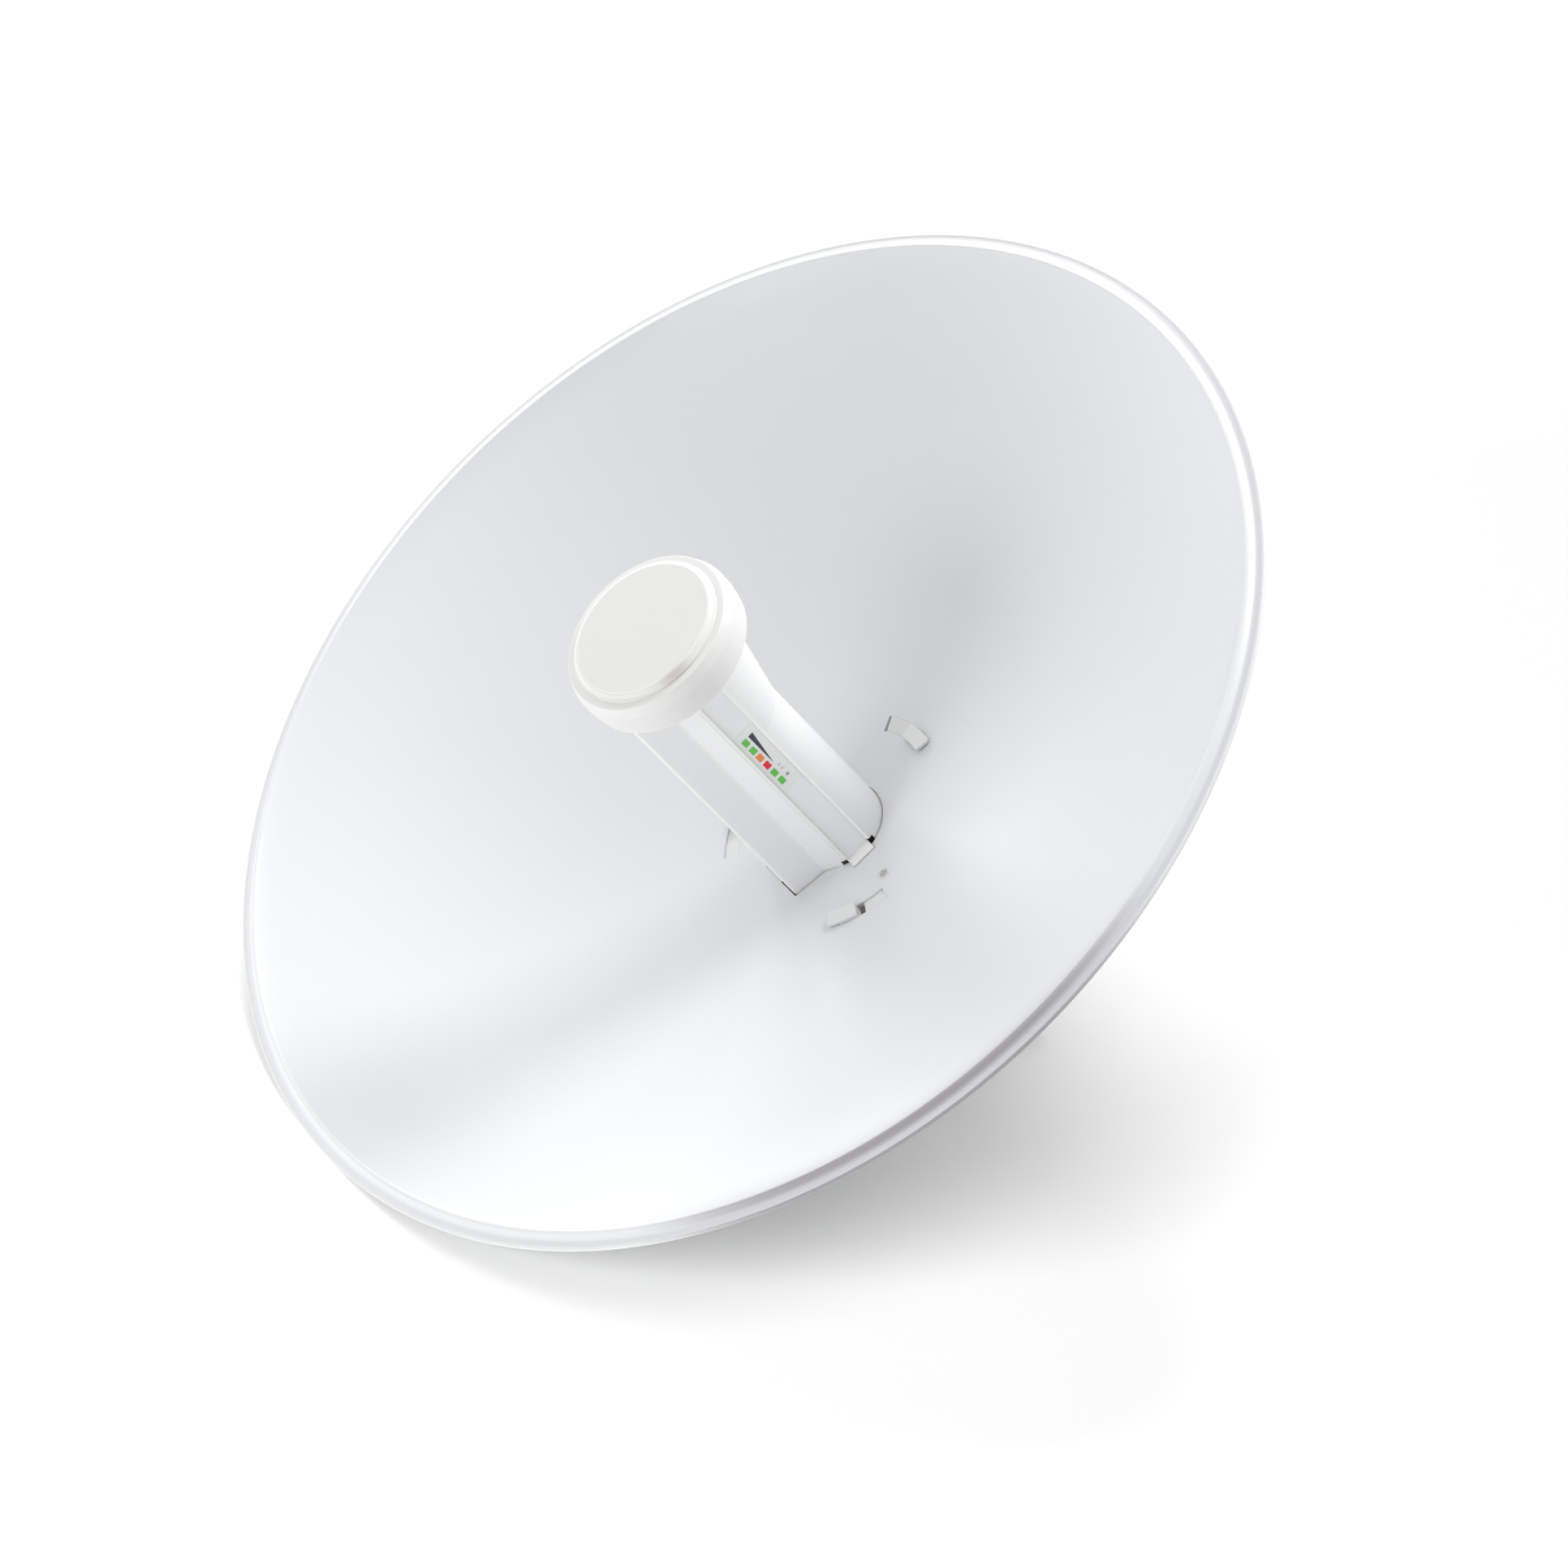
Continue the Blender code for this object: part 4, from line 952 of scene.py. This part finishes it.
def makeScrews():
    # Four pan-head screws on the back of the housing
    radius, rise, turn, (long, thin) = screw["radius"], screw["rise"], screw["round"], screw["cross"]
    profile = [(0, rise)] + arcPoints((radius - turn, rise - turn), turn, 90, 0, 5) + [(radius, 0), (0, 0)]
    heads = []
    for x, y in screw["places"]:
        head = spinProfile(profile, screw["steps"])
        for halfX, halfY in ((long, thin), (thin, long)):
            tool = block((-halfX, -halfY, rise - screw["recess"]), (halfX, halfY, screw["above"]))
            head = combined(head, tool)
        spot = Matrix.Translation((x, y, housing["back"])) @ Matrix.Rotation(math.pi, 4, "X")
        heads.append(placed(head, spot @ Matrix.Rotation(x + y, 4, "Z")))
    finishPiece("housingScrews", joined(*heads), zincBolt)


# Tilt yoke and pole clamp: sheet and cast pieces with softened edges
clampPieces = {"tiltYoke": ("tilt_yoke", 0.5), "frontJaw": ("clamp_front_jaw", 0.45),
               "rearJaw": ("clamp_rear_jaw", 0.45)}


def makeClampPieces():
    for name, (node, width) in clampPieces.items():
        shape = bevelSharp(nodeShape(node), width, 3, angle=40)
        finishPiece(name, shape, zincSheet, [node])


# Fasteners, M8: a hexagon is chamfered by a cone that starts inside its flats, and its bore has a wide mouth
fastener = {"radius": 4, "pitch": 1.25, "depth": 0.55, "crest": (0.45, 0.55), "tipIn": 0.9, "threadGap": 0.5,
            "hex": 7.4, "flatInset": 0.1, "coneSlope": 0.55, "conePast": 0.1,
            "mouth": {"wide": 1.6, "past": 1, "deep": 0.6}, "steps": 48}
tiltBolt = {"outside": 18.6, "washer": 1.4, "washerRadius": 8.6, "washerEdge": 0.25, "bore": 4.3,
            "nutBore": 4.05, "head": 20.3, "intoHead": 1, "end": 25.8, "tip": 27.8, "tipDrop": 0.4,
            "plain": 7, "threadEnd": 8}


def threadProfile(top, bottom):
    # Thread flanks down the outer side
    radius, pitch, root = fastener["radius"], fastener["pitch"], fastener["radius"] - fastener["depth"]
    upper, lower = (share * pitch for share in fastener["crest"])
    turns = int((top - bottom) / pitch)
    points = []
    for turn in range(turns):
        height = top - turn * pitch
        points += [(root, height), (radius, height - upper), (radius, height - lower)]
    return points + [(root, top - turns * pitch)]


def hexagon(low, high, bore=0):
    # A hexagon prism whose ends are chamfered by a cone
    radius = fastener["hex"]
    prism = raiseOutline(circle((0, 0), radius, 6), (low, high))
    inside = radius * math.cos(math.radians(30)) - fastener["flatInset"]
    drop, out = (radius - inside) * fastener["coneSlope"], radius + fastener["conePast"]
    cone = [(0, high), (inside, high), (out, high - drop), (out, low + drop), (inside, low), (0, low)]
    prism = combined(prism, spinProfile(cone, fastener["steps"]), "INTERSECT")
    if bore:
        mouth = fastener["mouth"]
        wide, past, deep = bore + mouth["wide"], mouth["past"], mouth["deep"]
        hole = [(0, high + past), (wide, high + past), (bore, high - deep),
                (bore, low + deep), (wide, low - past), (0, low - past)]
        prism = combined(prism, spinProfile(hole, fastener["steps"]))
    return prism


def washer(low, high):
    radius, bore, edge = tiltBolt["washerRadius"], tiltBolt["bore"], tiltBolt["washerEdge"]
    profile = [(bore, high), (radius - edge, high), (radius, high - edge),
               (radius, low + edge), (radius - edge, low), (bore, low)]
    return spinProfile(profile, fastener["steps"], closed=True)


def finishFastener(node, shape, spot):
    first, *others = node.split("_")
    name = first + "".join(word.title() for word in others)
    finishPiece(name, placed(shape, spot), zincBolt, [node], sharp=30)


def tiltBoltShape():
    head, end, tip, radius = tiltBolt["head"], tiltBolt["end"], tiltBolt["tip"], fastener["radius"]
    root, inHead = radius - fastener["depth"], -head - tiltBolt["intoHead"]
    shank = [(0, tip), (radius - fastener["tipIn"], tip), (root, tip - tiltBolt["tipDrop"])]
    shank += threadProfile(tip - fastener["threadGap"], tiltBolt["threadEnd"])
    shank += [(radius, tiltBolt["plain"]), (radius, inHead), (0, inHead)]
    return combined(spinProfile(shank, fastener["steps"]), hexagon(-end, -head), "UNION")


def makeTiltBolts():
    inside, outside = tiltBolt["outside"], tiltBolt["outside"] + tiltBolt["washer"]
    for word, place in (("pivot", tilt["pivotY"]), ("lock", tilt["lockY"])):
        spot = Matrix.Translation((0, place, tilt["z"])) @ alongX
        finishFastener(f"{word}_bolt", tiltBoltShape(), spot)
        finishFastener(f"{word}_nut", hexagon(tiltBolt["head"], tiltBolt["end"], tiltBolt["nutBore"]), spot)
        for side, hand in ((-1, "left"), (1, "right")):
            low, high = sorted((side * inside, side * outside))
            finishFastener(f"{word}_washer_{hand}", washer(low, high), spot)


carriage = {"x": 34, "seat": -52.7, "head": 8, "headRise": 4, "headFoot": 0.6, "headEdge": 0.3,
            "plain": -62, "thread": -62.4, "end": -94}
flangeNut = {"top": -85.3, "end": -91.3, "hexDrop": 0.4, "flange": 8.6, "edge": 0.3, "rim": 0.8,
             "coneIn": 0.4, "coneDrop": 2.2, "bore": 4.1, "past": 5}


def carriageShank():
    radius, head, seat, end = fastener["radius"], carriage["head"], carriage["seat"], carriage["end"]
    foot, edge = carriage["headFoot"], carriage["headEdge"]
    shank = []
    for angle in range(0, 91, 9):
        rise = (carriage["headRise"] - foot) * math.cos(math.radians(angle))
        shank.append((head * math.sin(math.radians(angle)), seat + foot + rise))
    shank += [(head, seat + edge), (head - edge, seat), (radius, seat), (radius, carriage["plain"])]
    shank += threadProfile(carriage["thread"], end + fastener["threadGap"])
    return shank + [(radius - fastener["tipIn"], end), (0, end)]


def flangeNutShape():
    top, low, flange, edge = flangeNut["top"], flangeNut["end"], flangeNut["flange"], flangeNut["edge"]
    coneRadius, coneLow = fastener["hex"] - flangeNut["coneIn"], top - flangeNut["coneDrop"]
    skirt = [(0, top), (flange - edge, top), (flange, top - edge), (flange, top - flangeNut["rim"]),
             (coneRadius, coneLow), (0, coneLow)]
    nut = hexagon(low, top - flangeNut["hexDrop"])
    nut = combined(nut, spinProfile(skirt, fastener["steps"]), "UNION")
    levels = (low - flangeNut["past"], top + flangeNut["past"])
    return combined(nut, raiseOutline(circle((0, 0), flangeNut["bore"], 36), levels))


def makeCarriageBolts():
    for side, hand in ((-1, "left"), (1, "right")):
        spot = Matrix.Translation((side * carriage["x"], 0, 0))
        finishFastener(f"carriage_bolt_{hand}", spinProfile(carriageShank(), fastener["steps"]), spot)
        finishFastener(f"flange_nut_{hand}", flangeNutShape(), spot)


makeDish()
makePinBoss()
print("dish made")
makeFeedShell()
makeFeedKeel()
makeFeedEdgeHighlights()
makeStrips()
makeLightWindows()
makeLabelMarks()
makeFootSeal()
makeNotchShadeBlocks()
makeCapSkirt()
makeCapFace()
print("feed made")
makeHousing()
makeLock()
makeGland()
makePortCover()
makeScrews()
print("housing made")
makeClampPieces()
makeTiltBolts()
makeCarriageBolts()
print("clamp made")


# Stage: a plain pale floor, soft light and the camera

ground = {"half": 12, "tone": (0.93, 0.93, 0.93), "roughness": 0.9}


def makeFloor():
    bm = bmesh.new()
    bmesh.ops.create_grid(bm, x_segments=1, y_segments=1, size=ground["half"])
    floor = addObject("floor", toMesh(bm, "floor"))
    floor.data.materials.append(Paint("floorWhite", ground["tone"], ground["roughness"]).material)


# Soft lamps, placed by their turn round the dish and their rise over its rim. As a product photographer keeps
# the antenna's keys off the floor and lights the floor apart, each lamp names what it reaches.
lighting = {
    "sky": 0.51, "middle": (0, 0, 0.15), "distance": 2.4,
    "lamps": (
        # name, turn, rise, size, watts, reach
        ("topKey", 90, 15, 1.0, 27.2, "antenna"),
        ("topEdge", 90, 5, 1.0, 18.8, "antenna"),
        ("topSide", 105, 15, 1.0, 5.7, "antenna"),
        ("leftKey", 180, 15, 1.0, 10.6, "antenna"),
        ("leftFill", 155, 28, 0.8, 7.6, "antenna"),
        ("highFill", 120, 50, 1.2, 3, "antenna"),
        ("frontFill", 0, 90, 1.2, 5.7, "antenna"),
        ("lowFill", 285, 50, 1.0, 9, "antenna"),
        ("floorFront", 300, 58, 1.0, 48.5, "floor"),
        ("floorTop", 120, 35, 1.0, 27, "floor"),
        ("floorSide", 45, 40, 1.0, 11.8, "floor"),
        ("floorLeft", 200, 38, 1.0, 4, "floor"),
    ),
}


def makeLights():
    world = bpy.data.worlds.new("studio")
    world.use_nodes = True
    background = world.node_tree.nodes["Background"]
    background.inputs["Color"].default_value = (1, 1, 1, 1)
    background.inputs["Strength"].default_value = lighting["sky"]
    bpy.context.scene.world = world
    reach = {name: bpy.data.collections.new("lit" + name.title()) for name in ("antenna", "floor")}
    for piece in bpy.context.scene.objects:
        if piece.type == "MESH":
            reach["floor" if piece.name == "floor" else "antenna"].objects.link(piece)
    for name, turn, rise, size, watts, lit in lighting["lamps"]:
        light = bpy.data.lights.new(name, "AREA")
        light.shape = "DISK"
        light.size = size
        light.energy = watts
        lamp = addObject(name, light)
        turn, rise = math.radians(turn), math.radians(rise)
        level = math.cos(rise)
        direction = turned @ Vector((level * math.cos(turn), level * math.sin(turn), math.sin(rise)))
        lamp.location = Vector(lighting["middle"]) + direction * lighting["distance"]
        lamp.rotation_euler = direction.to_track_quat("Z", "Y").to_euler()
        lamp.light_linking.receiver_collection = reach[lit]


# The camera stands where the photograph's perspective puts it, in the antenna's own millimetres
photoCamera = {"lens": 149.07, "sensor": 36, "eye": (1678.7, -16.3, 1639.9), "aim": (-5.4, -2.7, 29.8),
               "roll": 3.79, "clip": (0.05, 50)}


def makeCamera():
    lens = bpy.data.cameras.new("camera")
    lens.lens = photoCamera["lens"]
    lens.sensor_width = photoCamera["sensor"]
    camera = addObject("camera", lens)
    eye = toWorld @ Vector(photoCamera["eye"])
    back = (eye - toWorld @ Vector(photoCamera["aim"])).normalized()
    camera.location = eye
    camera.rotation_mode = "QUATERNION"
    roll = Matrix.Rotation(math.radians(photoCamera["roll"]), 3, back)
    camera.rotation_quaternion = (roll @ back.to_track_quat("Z", "Y").to_matrix()).to_quaternion()
    lens.clip_start, lens.clip_end = photoCamera["clip"]
    bpy.context.scene.camera = camera


makeFloor()
makeLights()
makeCamera()
bpy.context.scene.view_settings.view_transform = "Standard"
print("stage set")
